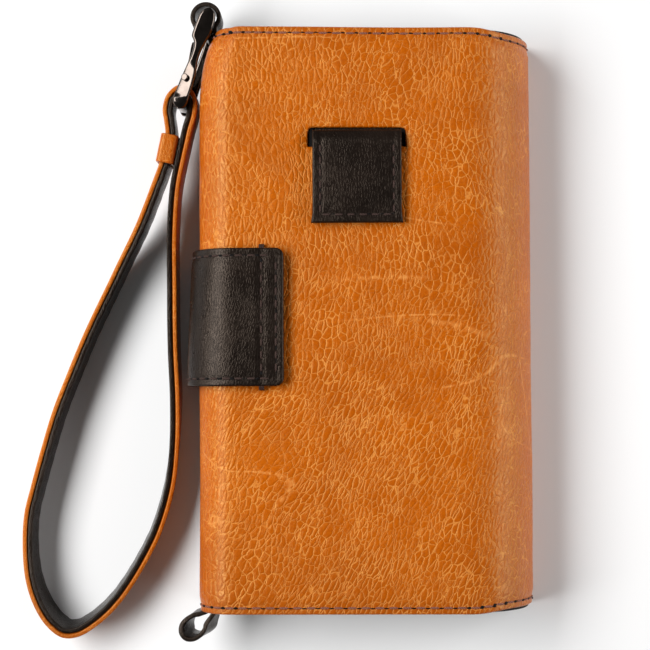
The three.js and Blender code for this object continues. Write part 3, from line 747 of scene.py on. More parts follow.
def drawn_corner(points, y, depth):
    """The strap's pull draws the opening edge's top corner in and up. The draw is a power of 2.8 of the
    way up the last stretch, and fades out across the cover. The inner face moves a little less, so the
    leather thins but never crosses. The fold takes up length, so the cover's ends draw in over it."""
    way = np.clip((y - half_length + CORNER_LENGTH) / CORNER_LENGTH, 0, 1)
    draw = CORNER_DRAW * way**2.8
    draw = draw - depth * 0.45 * MM * (1 - np.exp(-draw / (0.5 * MM)))
    x, z = points[..., 0], points[..., 2]
    fade = 1 - smooth(x, fore_edge, fore_edge + 22 * MM)
    rise = CORNER_RISE * smooth(y, 30 * MM, half_length) * (1 - smooth(x, fore_edge, fore_edge + 66 * MM))
    on_fold = smooth(x, spine_x + 2 * MM, spine_x + 13 * MM) * smooth(z, 2 * MM, 8 * MM)
    end = smooth(np.abs(y), 55 * MM, half_length) * np.sign(y)
    moved = points.copy()
    moved[..., 0] += draw * fade
    moved[..., 1] += rise * smooth(z, 10 * MM, 18 * MM) - FOLD_DRAW * on_fold * end
    return moved


back_path = Path(
    run((fore_edge, rim), (fore_edge, shoulder_z)),
    arc(shoulder_x, shoulder_z, SHOULDER, 180, 90),
    run((shoulder_x, top_face), (spine_x, top_face)),
    arc(spine_x, spine_z, spine_round, 90, 0),
    run((spine_edge, spine_z), (spine_edge, spine_middle)),
)
flat_start = (shoulder_z - rim) + SHOULDER * math.pi / 2
front_path = Path(
    run((spine_edge, spine_middle), (spine_edge, SPINE_FOOT)),
    arc(foot_x, SPINE_FOOT, SPINE_FOOT, 0, -90),
    run((foot_x, 0), (front_edge, 0)),
)
front_flat_start = SPINE_FLAT / 2 + SPINE_FOOT * math.pi / 2
stitch_y = half_length - EDGE_TO_STITCH


def on_back(x):
    """Length along the back path at this x of its flat stretch."""
    return flat_start + x - shoulder_x


def on_front(x):
    """Length along the front path at this x of its flat stretch."""
    return front_flat_start + foot_x - x


# Where the board ends along y, and how far the leather drops past it
BOARD_END = (72.6 * MM, 74.8 * MM)
SEWN_DROP = 0.30 * MM
GROOVE_WIDTH = 0.55 * MM
GROOVE_DEPTH = 0.12 * MM

# The slot's pressed-in lip, and the dent next to the opening edge's top corner
LIP_DROP = 0.40 * MM
LIP_WIDTH = 1.5 * MM
DENT_DEPTH = 0.75 * MM
DENT_PLACE = (fore_edge + 4.6 * MM, 76 * MM)
DENT_SIZE = (1.5 * MM, 7 * MM)

# The size of the slow waves in the leather's face
WAVE = 26 * MM


def sewn_margin(y):
    """The leather drops where the board ends, and a shallow groove holds the thread."""
    groove = np.exp(-(((np.abs(y) - stitch_y) / GROOVE_WIDTH) ** 2))
    return -SEWN_DROP * smooth(np.abs(y), *BOARD_END) - GROOVE_DEPTH * groove


def back_relief(s, y):
    """The sewn margin, a lip pressed in round the slot and a dent near the top corner, both falling off as
    bell curves, and slow waves."""
    past_s = np.maximum(np.maximum(on_back(slot_x[0]) - s, s - on_back(slot_x[1])), 0)
    past_y = np.maximum(np.maximum(slot_y[0] - y, y - slot_y[1]), 0)
    lip = -LIP_DROP * np.exp(-((np.hypot(past_s, past_y) / LIP_WIDTH) ** 2))
    across, up = (s - on_back(DENT_PLACE[0])) / DENT_SIZE[0], (y - DENT_PLACE[1]) / DENT_SIZE[1]
    dent = -DENT_DEPTH * np.exp(-(across**2) - up**2)
    return sewn_margin(y) + lip + dent + 0.09 * MM * drift(s, y, WAVE, 3)


def front_relief(s, y):
    """The sewn margin, and slow waves on the flat stretch only."""
    flat = 1 - smooth(s, front_flat_start - 2 * MM, front_flat_start + 2 * MM)
    return sewn_margin(y) + 0.05 * MM * flat * drift(s, y, WAVE, 5)


def cut_corners(points, y, depth):
    """Rounds the slot's top corners: near them its top edge drops by a circle's height."""
    off_middle = np.abs(points[..., 0] - (slot_x[0] + slot_x[1]) / 2) - (slot_x[1] - slot_x[0]) / 2
    past = np.clip(off_middle / SLOT_ROUND + 1, 0, 1)
    drop = SLOT_ROUND * (1 - np.sqrt(1 - past**2)) * np.exp(-((np.maximum(off_middle, 0) / (1.5 * MM)) ** 2))
    moved = drawn_corner(points, y, depth)
    moved[..., 1] -= drop * np.exp(-(((y - slot_y[1]) / (1.5 * MM)) ** 2))
    return moved


def cover_pieces():
    """Two sheets that meet half-way down the spine. The back one has the slot, and the front one the notch
    that the closure tab's end lies in."""
    ends = [-half_length, half_length]
    slot_s = (on_back(slot_x[0]), on_back(slot_x[1]))
    back = sheet(
        "cover_back", back_path, [ends[0], *slot_y, ends[1]], LEATHER, ORANGE,
        s_marks=[0.0, *slot_s, back_path.length], hole=(slot_s, slot_y), relief=back_relief, bend=cut_corners,
        open_ends=(False, True), pitch=1.1 * MM, edge=0.5 * MM,
    )
    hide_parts("back_leather")
    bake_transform(back)

    notch_x = tip_high.x + 0.6 * MM
    notch_y = (tip_low.y - 0.6 * MM, tip_high.y + 0.6 * MM)
    notch_s = on_front(notch_x)
    front = sheet(
        "cover_front", front_path, [ends[0], *notch_y, ends[1]], LEATHER, ORANGE,
        s_marks=[0.0, notch_s, front_path.length], hole=((notch_s, front_path.length + MM), notch_y),
        relief=front_relief, bend=drawn_corner, open_ends=(True, False), pitch=1.1 * MM, edge=0.5 * MM,
    )
    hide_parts("front_leather", "spine_leather")
    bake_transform(front)


# Where the linings turn down to the leather, along y
HEM = (74.0 * MM, 75.4 * MM)


def lining_pieces():
    """Two suede sheets inside the cover, which meet in the fold and turn out to the leather at the ends."""
    end = half_length - 0.3 * MM
    hem = 1.25 * MM

    def back_hem(s, y):
        """The hem times a smooth rise in y."""
        return hem * smooth(np.abs(y), *HEM)

    back = sheet(
        "lining_back", back_path, [-end, end], LINING, SUEDE, inset=LINING_INSET,
        s_marks=[on_back(shoulder_x - 2 * MM), back_path.length - (spine_z - spine_middle)], relief=back_hem,
        open_ends=(False, True), pitch=1.4 * MM,
    )
    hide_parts("back_lining")
    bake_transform(back)

    turn = 1.2 * MM
    side_x = spine_edge - LINING_INSET
    level = front_lining_low.z
    path = Path(
        arc(side_x - turn, spine_z, turn, 0, -90),
        run((side_x - turn, level), (front_edge, level)),
    )
    lift = level - LEATHER

    def front_hem(s, y):
        """The same, with the hem changing smoothly to the front's own lift over the first 3 mm."""
        share = smooth(s, 0.0, 3 * MM)
        return (hem + (lift - hem) * share) * smooth(np.abs(y), *HEM)

    front = sheet(
        "lining_front", path, [-end, end], front_lining_high.z - level, SUEDE, relief=front_hem,
        bend=drawn_corner, open_ends=(True, False), pitch=1.4 * MM,
    )
    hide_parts("front_lining", "spine_lining")
    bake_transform(front)


def seam_on(path, first, last, y, relief, pitch=STITCH_PITCH, inset=0.0, bent=True):
    """Middles, directions and outward sides of stitches at even steps along a path at one y."""
    count = int((last - first) / pitch)
    s = first + (last - first - count * pitch) / 2 + pitch * (np.arange(count) + 0.5)
    place, out = path.at(s)
    lifted = place + out * (relief(s, np.full_like(s, y)) - inset)[:, None]
    centre = vertical(lifted, y)
    if bent:
        centre = drawn_corner(centre, np.full(len(centre), y), 0.0)
    normal = vertical(out, 0.0)
    along = np.stack([out[:, 1], np.zeros(len(s)), -out[:, 0]], axis=1)
    return centre, along, normal


def cover_seams():
    """A row of stitches with needle holes along each end of both cover sheets."""
    for end, y in (("top", stitch_y), ("bottom", -stitch_y)):
        seams = [
            ("back", back_path, 6 * MM, back_path.length, back_relief, ("phone_half", "spine"),
             (spine_x, 0, top_face), (spine_edge, 0, spine_z)),
            ("front", front_path, 0.0, front_path.length - 4 * MM, front_relief, ("spine", "card_half"),
             (spine_edge, 0, spine_middle), (foot_x, 0, 0)),
        ]
        for side, path, first, last, relief, bodies, start, finish in seams:
            seam = seam_on(path, first, last, y, relief, inset=SUNK)
            rise = 0.10 * MM if side == "back" else 0.02 * MM
            thread = stitches(f"{side}_seam_{end}", *seam, MAUVE_THREAD, rise=rise)
            holes = needle_hole_shades(f"{side}_seam_holes_{end}", *seam, HOLE_SHADE)
            for piece in (thread, holes):
                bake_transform(piece)


# ---------------------------------------------------------------- inside


def card_pockets():
    """Three staggered panels, each with a shallow groove and a row of thread along its mouth."""
    for i in (1, 2, 3):
        low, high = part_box(f"card_pocket_{i}")
        path = Path(run((low.x, high.z), (high.x, high.z)))

        def pocket_relief(s, y):
            """A shallow groove: a bell curve in s, centred on the row of thread."""
            return -0.07 * MM * np.exp(-(((s - path.length + POCKET_MARGIN) / (0.5 * MM)) ** 2))

        panel = sheet(
            f"pocket_panel_{i}", path, [low.y, high.y], high.z - low.z, BLACK if i == 2 else SUEDE,
            relief=pocket_relief, bend=drawn_corner, pitch=2.0 * MM,
        )
        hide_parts(f"card_pocket_{i}")
        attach(panel, "card_half")
        count = int((high.y - low.y - 8 * MM) / POCKET_PITCH)
        y = centred(count, POCKET_PITCH)
        x, z = np.full(count, high.x - POCKET_MARGIN), np.full(count, high.z - 0.08 * MM)
        centre = np.stack([x, y, z], axis=1)
        seam = (centre, np.tile(ALONG_Y, (count, 1)), np.tile(UP, (count, 1)))
        thread = stitches(
            f"pocket_seam_{i}", *seam, BLACK_THREAD, length=PULL_STITCH, radius=0.16 * MM, rise=0.06 * MM
        )
        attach(thread, "card_half")


def tray_pad_and_clasp_seat():
    """The tray's suede pad, with slow waves, and the leather seat under the closure tab's end."""
    low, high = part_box("phone_pad")
    path = Path(run((high.x, low.z), (low.x, low.z)))
    pad = sheet(
        "tray_pad", path, [low.y, high.y], high.z - low.z, SUEDE, pitch=2.5 * MM,
        relief=lambda s, y: 0.05 * MM * drift(s, y, 30 * MM, 8),
    )
    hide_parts("phone_pad")
    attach(pad, "phone_half")

    low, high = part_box("clasp_seat_pad")
    path = Path(run((high.x, low.z), (low.x, low.z)))
    seat = sheet("clasp_seat", path, [low.y, high.y], high.z - low.z, BLACK, pitch=1.5 * MM)
    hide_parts("clasp_seat_pad")
    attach(seat, "card_half")


def slot_inside():
    """A near-black sheet round the pull tab's root under the slot, painted shade for the slot's dark inside,
    and the root strap that comes up through it.
    """
    side, head = 3 * MM, 3 * MM
    path = Path(run((slot_x[0] - side, board_top + 0.3 * MM), (slot_x[1] + side, board_top + 0.3 * MM)))
    gap_s = (root_low.x - slot_x[0] + side - 0.3 * MM, root_high.x - slot_x[0] + side + 0.3 * MM)
    gap_y = (root_low.y - 0.3 * MM, root_low.y + 1.3 * MM)
    # A near-black sheet under the slot: painted shade for the slot's dark inside.
    shade_sheet = sheet(
        "slot_shade_sheet", path, [slot_y[0] - head, *gap_y, slot_y[1] + head], 0.25 * MM, HOLE_SHADE,
        s_marks=[0.0, *gap_s, path.length], hole=(gap_s, gap_y), pitch=1.2 * MM, edge=0.1 * MM,
    )
    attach(shade_sheet, "phone_half")

    middle = (root_low.x + root_high.x) / 2
    depth = root_high.y - root_low.y
    level = root_low.z + 0.45 * MM
    rise_y = root_low.y + 0.55 * MM
    route = through(
        [
            (root_low.y + depth, level), (root_low.y + 6 * MM, level), (root_low.y + 2.2 * MM, level),
            (rise_y + 0.2 * MM, level + 0.45 * MM), (rise_y, root_high.z - 0.8 * MM),
            (rise_y, root_high.z - 0.5 * MM),
        ],
        28,
    )
    centre = np.stack([np.full(len(route), middle), route[:, 0], route[:, 1]], axis=1)
    heading = unit(np.gradient(centre, axis=0))
    across = np.array([1.0, 0.0, 0.0])
    root = bar(
        "tab_root_strap", centre, across, np.cross(heading, across), root_high.x - root_low.x, 0.85 * MM,
        0.3 * MM, BLACK,
    )
    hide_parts("pull_tab_root")
    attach(root, "phone_half")


# ---------------------------------------------------------------- closure tab and pull tab

clasp_out = clasp_high.z - top_face
clasp_layer = 1.1 * MM
clasp_under = 1.3 * MM
CLASP_LOW_ROUND = 3.4 * MM
TAB_PITCH = 3.3 * MM
TAB_STITCH = 2.4 * MM
SECOND_ROW = 5.8 * MM
low_fold_x = fore_edge + CLASP_LOW_ROUND - clasp_out
low_fold_z = tip_low.z + CLASP_LOW_ROUND
wall_x = fore_edge - clasp_out
wall_middle = (low_fold_z + shoulder_z) / 2
clasp_end_x = clasp_high.x + 0.7 * MM
CLASP_CORNER = 2.1 * MM
CLASP_MARGIN = 2.0 * MM
CLASP_SLANT = 0.75 * MM

upper_clasp = Path(
    run((wall_x, wall_middle), (wall_x, shoulder_z)),
    arc(shoulder_x, shoulder_z, SHOULDER + clasp_out, 180, 90),
    run((shoulder_x, top_face + clasp_out), (clasp_end_x, top_face + clasp_out)),
)
lower_clasp = Path(
    run((tip_high.x, tip_low.z), (low_fold_x, tip_low.z)),
    arc(low_fold_x, low_fold_z, CLASP_LOW_ROUND, 270, 180),
    run((wall_x, low_fold_z), (wall_x, wall_middle)),
)
clasp_y = (clasp_low.y, clasp_high.y)
clasp_mid = (clasp_low.y + clasp_high.y) / 2
clasp_half = (clasp_high.y - clasp_low.y) / 2


def rounded_end(end_x):
    """Narrows a strip towards its end at this x, by a circle's height, so that its corners are round.
    Where the strip passes the opening edge it slants: its upper side stands further in, in proportion
    to y."""

    def bend(points, y, depth):
        past = np.clip((points[..., 0] - end_x + CLASP_CORNER) / CLASP_CORNER, 0, 1)
        narrow = CLASP_CORNER * (1 - np.sqrt(1 - past**2))
        moved = points.copy()
        moved[..., 1] = clasp_mid + (points[..., 1] - clasp_mid) * (1 - narrow / clasp_half)
        slant = CLASP_SLANT * (y - clasp_mid) / clasp_half
        moved[..., 0] += slant * (1 - smooth(points[..., 0], wall_x + 2 * MM, wall_x + 11 * MM))
        return moved

    return bend


def clasp_relief(length, from_end):
    """Grooves under the rows of thread, a rounded swell between them, and the sewn-down seam near the
    fixed end."""

    def relief(s, y):
        side = clasp_half - np.abs(y - clasp_mid)
        to_end = (length - s) if from_end else s
        near = np.minimum(side, to_end)
        groove = np.exp(-(((near - CLASP_MARGIN) / (0.55 * MM)) ** 2))
        swell = smooth(near, CLASP_MARGIN, CLASP_MARGIN + 4 * MM)
        seam = np.exp(-(((to_end - SECOND_ROW) / (0.7 * MM)) ** 2)) if from_end else 0.0
        return (-0.26 * groove + 0.16 * swell - 0.30 * seam + 0.05 * drift(s, y, 11 * MM, 21)) * MM

    return relief


def closure_tab():
    """Two layers in two lengths, each laid along one fold, with thread along both sides, a row near each
    end and a second row at the sewn end."""
    joints = (
        ("upper", upper_clasp, clasp_end_x, True, ("phone_half", "clasp_wall"),
         (shoulder_x, 0, top_face), (wall_x, 0, shoulder_z), ("clasp_base_outer", "clasp_base_inner")),
        ("lower", lower_clasp, tip_high.x, False, ("clasp_wall", "clasp_tip"),
         (wall_x, 0, low_fold_z), (low_fold_x, 0, tip_low.z),
         ("clasp_wall_outer", "clasp_wall_inner", "clasp_tip_outer", "clasp_tip_inner")),
    )
    for part, path, end_x, upper, bodies, start, finish, nodes in joints:
        relief = clasp_relief(path.length, upper)
        made = []
        for layer, inset, lift in (("face", 0.0, relief), ("backing", clasp_under, None)):
            strip = sheet(
                f"closure_tab_{part}_{layer}", path, list(clasp_y), clasp_layer, BLACK, inset=inset,
                relief=lift, bend=rounded_end(end_x), open_ends=(upper, not upper), pitch=0.7 * MM,
                edge=0.5 * MM,
            )
            made.append(strip)
        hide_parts(*nodes)
        along_s = path.length - CLASP_MARGIN if upper else CLASP_MARGIN
        rows = []
        for y in (clasp_y[0] + CLASP_MARGIN, clasp_y[1] - CLASP_MARGIN):
            first, last = (0.0, along_s) if upper else (along_s, path.length)
            row = seam_on(path, first, last, y, relief, pitch=TAB_PITCH, inset=SUNK, bent=False)
            rows.append((rounded_end(end_x)(row[0], y, 0.0), *row[1:]))
        cross = [along_s] + ([path.length - SECOND_ROW] if upper else [])
        for s in cross:
            count = int((2 * clasp_half - 2 * CLASP_MARGIN) / TAB_PITCH)
            y = clasp_mid + centred(count, TAB_PITCH)
            place, out = path.at(np.full(count, s))
            lifted = place + out * (relief(np.full(count, s), y) - SUNK)[:, None]
            centre = np.stack([lifted[:, 0], y, lifted[:, 1]], axis=1)
            rows.append((centre, np.tile(ALONG_Y, (count, 1)), vertical(out, 0.0)))
        seam = [np.concatenate(values) for values in zip(*rows)]
        rise = 0.20 * MM if upper else 0.02 * MM
        made.append(stitches(f"closure_tab_{part}_seam", *seam, BROWN_THREAD, length=TAB_STITCH, rise=rise))
        made.append(needle_hole_shades(f"closure_tab_{part}_holes", *seam, HOLE_SHADE, length=TAB_STITCH))
        for piece in made:
            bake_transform(piece)


def seam_bars():
    """Two bars of thread that hold the tab's ends down: they pass over its edge onto the cover."""
    x = clasp_end_x - SECOND_ROW
    rows = []
    for side in (-1, 1):
        for step in (-0.45, 0.0, 0.45):
            place = (x + step * MM, clasp_mid + side * (clasp_half + 0.25 * MM), top_face + 1.2 * MM)
            rows.append((place, (0, side * 0.72, -0.69), (0, side * 0.69, 0.72)))
    centre, along, up = (np.array(v, float) for v in zip(*rows))
    bars = stitches(
        "closure_tab_bars", centre, along, up, BROWN_THREAD, length=2.6 * MM, radius=0.24 * MM, rise=0.3 * MM
    )
    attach(bars, "phone_half")


def pull_tab():
    """Two layers with thread round three sides, held in the slot at the fourth."""
    margin = 2.05 * MM
    flare = 0.4 * MM
    middle = (tab_low.x + tab_high.x) / 2
    half = (tab_high.x - tab_low.x) / 2 - flare

    def shaped(points, y, depth):
        """The free end's corners point outwards a little, and the held end dips into the slot."""
        moved = points.copy()
        free = np.clip(1 - (y - tab_low.y) / (3 * MM), 0, 1)
        moved[..., 0] = middle + (points[..., 0] - middle) * (1 + flare * free**1.5 / half)
        dip = smooth(y, tab_high.y - 2.6 * MM, tab_high.y + 0.4 * MM)
        moved[..., 1] += 0.45 * MM * dip
        moved[..., 2] -= 1.25 * MM * dip
        return moved

    def relief(s, y):
        """A bell-curve groove under the thread, a smooth swell inside it, and slow waves."""
        near = np.minimum(np.minimum(s, 2 * half - s), y - tab_low.y)
        groove = np.exp(-(((near - margin) / (0.5 * MM)) ** 2))
        swell = smooth(near, margin, margin + 3.5 * MM)
        return (-0.24 * groove + 0.10 * swell + 0.05 * drift(s, y, 9 * MM, 31)) * MM

    for name, node, low, high, lift in (
        ("pull_tab_face", "pull_tab_front", tab_low, tab_high, relief),
        ("pull_tab_backing", "pull_tab_back", tab_under_low, tab_under_high, None),
    ):
        path = Path(run((middle - half, high.z), (middle + half, high.z)))
        piece = sheet(
            name, path, [low.y, high.y], high.z - low.z, BLACK, relief=lift, bend=shaped, pitch=0.6 * MM,
            edge=0.42 * MM,
        )
        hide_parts(node)
        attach(piece, "pull_tab")

    pitch = 3.15 * MM
    rows = []
    count = int((tab_high.y - tab_low.y - margin - 1.6 * MM) / pitch)
    y = tab_low.y + margin + pitch * (np.arange(count) + 0.5)
    for x in (margin, 2 * half - margin):
        rows.append((np.full(count, x), y, np.tile(ALONG_Y, (count, 1))))
    count = int((2 * half - 2 * margin) / pitch)
    x = half + centred(count, pitch)
    rows.append((x, np.full(count, tab_low.y + margin), np.tile([1.0, 0.0, 0.0], (count, 1))))
    s, y, along = (np.concatenate(values) for values in zip(*rows))
    height = tab_high.z + relief(s, y) - SUNK
    centre = shaped(np.stack([middle - half + s, y, height], axis=1), y, 1)
    up = np.tile(UP, (len(s), 1))
    seam = stitches("pull_tab_seam", centre, along, up, BROWN_THREAD, length=PULL_STITCH, rise=0.20 * MM)
    holes = needle_hole_shades("pull_tab_holes", centre, along, up, HOLE_SHADE, length=PULL_STITCH)
    for piece in (seam, holes):
        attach(piece, "pull_tab")


# ---------------------------------------------------------------- strap loops, clip and strap

STRIP = 1.25 * MM
LOOP_WIDTH = 8 * MM
loop_low, loop_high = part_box("loop_top")
loop_z = (loop_low.z + loop_high.z) / 2
top_loop_x, top_loop_y = fore_edge + 1.8 * MM, half_length + 4.8 * MM
low_loop_x, low_loop_y = fore_edge - 0.3 * MM, -half_length - 3.7 * MM


def strap_loop(name, node, route, lean):
    """A strip set on edge along a plan route. lean(plan) gives how far its upper edge stands off from its
    lower one."""
    plan = through(route, 90)
    centre = np.column_stack([plan, np.full(len(plan), loop_z)])
    heading = unit(np.column_stack([np.gradient(plan, axis=0), np.zeros(len(plan))]))
    across = unit(np.cross(unit(lean(plan)), heading))
    up = np.cross(heading, across)
    loop = bar(name, centre, across, up, STRIP, LOOP_WIDTH, 0.32 * MM, BLACK)
    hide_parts(node)
    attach(loop, "phone_half")


def strap_loops():
    """The clip's loop, a circle between two straight legs, and the spare one, an ellipse turned by 40 degrees
    that leans outwards past the wallet's end."""
    radius = 2.9 * MM + STRIP / 2
    outer, inner = fore_edge + 3.1 * MM, fore_edge + 4.5 * MM
    turn = np.radians(np.arange(225, -46, -30.0))
    ring = np.column_stack([top_loop_x + radius * np.cos(turn), top_loop_y + radius * np.sin(turn)]).tolist()
    route = [(outer, half_length - 5 * MM), (outer, half_length - 1.5 * MM), *ring,
             (inner, half_length - 1.5 * MM), (inner, half_length - 5 * MM)]
    strap_loop("corner_loop_top", "loop_top", route, lambda plan: np.tile(UP, (len(plan), 1)))

    def leaning(plan):
        out = smooth(-plan[:, 1], half_length - 1 * MM, half_length + 4 * MM)
        return np.column_stack([-0.34 * out, -0.10 * out, np.ones(len(plan))])

    turned = math.radians(40)
    turn = np.radians(np.arange(42, 319, 30.7))
    across, up = 3.7 * MM * np.cos(turn), 2.7 * MM * np.sin(turn)
    ring = np.column_stack([
        low_loop_x + across * math.cos(turned) - up * math.sin(turned),
        low_loop_y + across * math.sin(turned) + up * math.cos(turned),
    ]).tolist()
    left, right = fore_edge + 2.6 * MM, fore_edge + 4.1 * MM
    route = [(left, 5 * MM - half_length), (left, 0.5 * MM - half_length), *ring,
             (right, -half_length - 0.6 * MM), (right, 5 * MM - half_length)]
    strap_loop("corner_loop_bottom", "loop_bottom", route, leaning)


CLIP_HEADING = math.radians(-107.8)
CLIP_RIGHT = np.array([-math.sin(CLIP_HEADING), math.cos(CLIP_HEADING), 0.0])
CLIP_LENGTH = 23.9 * MM
top_post = np.array([top_loop_x + 0.6 * MM, top_loop_y - 0.2 * MM])
clip_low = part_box("clip_frame")[0]
CLIP_PLATE = 1.8 * MM
band_z = 17.2 * MM
bar_z = clip_low.z
gate_low, gate_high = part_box("clip_gate")
rivet_low, rivet_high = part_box("gate_rivet")
gate_pivot = ((rivet_low.x + rivet_high.x) / 2, (rivet_low.y + rivet_high.y) / 2)


def along_clip(points):
    """Points given by their length down the clip and their offset across it, in mm, turned to its heading."""
    u, v = np.asarray(points, float).T * MM
    return np.column_stack([
        top_post[0] + u * math.cos(CLIP_HEADING) - v * math.sin(CLIP_HEADING),
        top_post[1] + u * math.sin(CLIP_HEADING) + v * math.cos(CLIP_HEADING),
    ])


def disc(place, radius, count=28):
    """Points evenly round a circle."""
    turn = np.linspace(0, 2 * np.pi, count, endpoint=False)
    return np.column_stack([place[0] + radius * np.cos(turn), place[1] + radius * np.sin(turn)])


# The clip's upper face: length down the clip, the middle's offset, and breadth, in mm
BAND_SHAPE = np.array([
    [-2.4, 0.0, 0.0], [-2.1, 0.0, 2.0], [-1.4, 0.0, 3.4], [0.0, 0.0, 4.4], [2.0, 0.0, 4.8], [4.5, -0.1, 4.8],
    [6.2, -0.25, 4.3], [7.2, 0.05, 3.3], [8.6, 0.15, 2.5], [11.0, 0.1, 2.2], [13.0, 0.1, 2.5],
    [16.0, 0.15, 3.5], [19.0, 0.1, 4.0], [22.5, 0.0, 4.2], [24.4, 0.0, 3.8], [25.4, 0.0, 2.6],
    [25.9, 0.0, 0.0],
])

BAND_TURN = math.radians(20)


def clip_band():
    """A rounded bar carried down the clip. Its breadth and middle follow the table above through a smooth
    curve, and from the neck down it turns about its own length, so that its flat lower half faces the
    opening edge's side."""
    shape = through(BAND_SHAPE, 110)
    u, middle, breadth = shape.T
    plan = along_clip(np.column_stack([u, middle]))
    flat = smooth(u, 12.0, 15.5) * (1 - smooth(u, 21.5, 24.5))
    tail = smooth(u, 22.5, 25.9)
    height = band_z + CLIP_PLATE / 2 - 0.9 * MM * tail**2
    centre = np.column_stack([plan, height])
    turn = BAND_TURN * flat
    across = CLIP_RIGHT * np.cos(turn)[:, None] + UP * np.sin(turn)[:, None]
    up = UP * np.cos(turn)[:, None] - CLIP_RIGHT * np.sin(turn)[:, None]
    thick = CLIP_PLATE * (1 - 0.35 * flat)
    wide = np.maximum(breadth * MM, 0.5 * MM)
    rounding = np.minimum(0.8 * MM - 0.35 * MM * flat, wide * 0.48)
    return bar("clip_band", centre, across, up, wide, thick, rounding, GUNMETAL)


def tilt(piece, pivot):
    """Turns a piece's points about a line along the clip through the pivot, as the band is turned."""
    points = np.empty(3 * len(piece.data.vertices))
    piece.data.vertices.foreach_get("co", points)
    points = points.reshape(-1, 3) - pivot
    level, height = points @ CLIP_RIGHT, points[:, 2].copy()
    points += CLIP_RIGHT * (level * (math.cos(BAND_TURN) - 1) - height * math.sin(BAND_TURN))[:, None]
    points[:, 2] = level * math.sin(BAND_TURN) + height * math.cos(BAND_TURN)
    piece.data.vertices.foreach_set("co", (points + pivot).ravel())
    piece.data.update()


def clip_pieces():
    """The clip's band, back bar and two posts, and the gate's rivet."""
    end = CLIP_LENGTH / MM
    bar_outline = [
        (-1.8, 0), (0, 1.9), (6, 2.1), (18, 2.1), (end, 1.9), (end + 1.8, 0), (end, -1.5), (end - 2.4, 0.5),
        (18, -0.5), (6, -0.5), (2.2, -0.6), (0, -1.6),
    ]
    lower_post = along_clip([(end, 0)])[0]
    lower_outline = along_clip(through(bar_outline, 100, closed=True))
    made = [
        clip_band(),
        plate("clip_back_bar", lower_outline, bar_z, bar_z + CLIP_PLATE, 0.55 * MM, GUNMETAL),
        plate("clip_post_top", disc(top_post, 1.4 * MM), bar_z + MM, band_z + MM, 0.2 * MM, GUNMETAL),
        plate("clip_post_lower", disc(lower_post, 1.4 * MM), bar_z + MM, band_z + MM, 0.2 * MM, GUNMETAL),
    ]
    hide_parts("clip_frame")
    foot, band_top = rivet_low.z, band_z + CLIP_PLATE
    head, stem = disc(gate_pivot, 0.95 * MM, 20), disc(gate_pivot, 0.55 * MM, 16)
    head_top = plate("rivet_head_top", head, band_top, rivet_high.z, 0.2 * MM, GUNMETAL)
    tilt(head_top, (*gate_pivot, band_top))
    shaft = plate("rivet_shaft", stem, foot, band_top, 0.1 * MM, GUNMETAL)
    head_low = plate("rivet_head_low", head, foot, foot + 0.7 * MM, 0.25 * MM, GUNMETAL)
    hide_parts("gate_rivet")
    for piece in made + [head_top, shaft, head_low]:
        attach(piece, "clip")


def clip_gate():
    """The sprung leaf, a closed smooth curve cut as a plate, and the eye that it turns on."""
    outline = [(6.9, -2.4), (12, -2.0), (17.3, -1.6), (17.4, -0.9), (12, -1.45), (6.9, -1.9)]
    leaf = along_clip(through(outline, 60, closed=True))
    gate = plate("gate_leaf", leaf, gate_low.z, gate_high.z, 0.12 * MM, GUNMETAL)
    eye = plate("gate_eye", disc(gate_pivot, 1.1 * MM, 24), gate_low.z, gate_high.z, 0.2 * MM, GUNMETAL)
    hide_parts("clip_gate")
    for piece in (gate, eye):
        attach(piece, "gate")


# The strap's outer face in plan, in mm from the wallet's top corner at the opening edge: from the keeper up
# round the clip, down one side and back up the other
STRAP_ROUTE = [
    (-9.9, -29.9), (-9.17, -26.37), (-9.5, -23), (-9.9, -19.6), (-8.7, -15.6), (-5.3, -13.1), (-1.9, -14.6),
    (-0.65, -17.8), (-0.9, -21.4), (-2, -25.4), (-3, -29.8), (-4, -34.3), (-5.3, -41), (-6.5, -54.5),
    (-6.7, -72), (-6.5, -84), (-6, -97), (-6.4, -110), (-7.9, -121.6), (-11.2, -132.8), (-14.2, -139.2),
    (-18.8, -147), (-23.2, -152.9), (-28.4, -157.7), (-33.4, -160.6), (-37.4, -160.8), (-41.4, -157.9),
    (-44.9, -152.6), (-47.3, -145.8), (-48.3, -136.7), (-47.9, -128.2), (-46.2, -121), (-43.4, -110.6),
    (-40.3, -100.3), (-36.3, -90), (-31.9, -79.4), (-23.8, -62.6), (-16.9, -49.4), (-12.4, -38.6),
    (-10.75, -34), (-10.02, -30.48),
]
STRAP_WIDTH = 9 * MM
STRAP_OUTER = 1.2 * MM
STRAP_INNER = 1.3 * MM
STRAP_GAP = 0.2 * MM
STRAP_FLOOR = 0.3 * MM
STRAP_LIFT = 6.3 * MM
KEEPER_HEADING = math.radians(78.3)
KEEPER_LENGTH = 7.8 * MM
KEEPER_X = fore_edge - 9.96 * MM
KEEPER_Y = half_length - 30.19 * MM


def strap_height(y):
    """Middle height of the strap: on the surface it lies on, rising smoothly to the clip."""
    rise = smooth(y, half_length - 69 * MM, half_length - 36.6 * MM)
    return STRAP_FLOOR + STRAP_WIDTH / 2 + STRAP_LIFT * rise


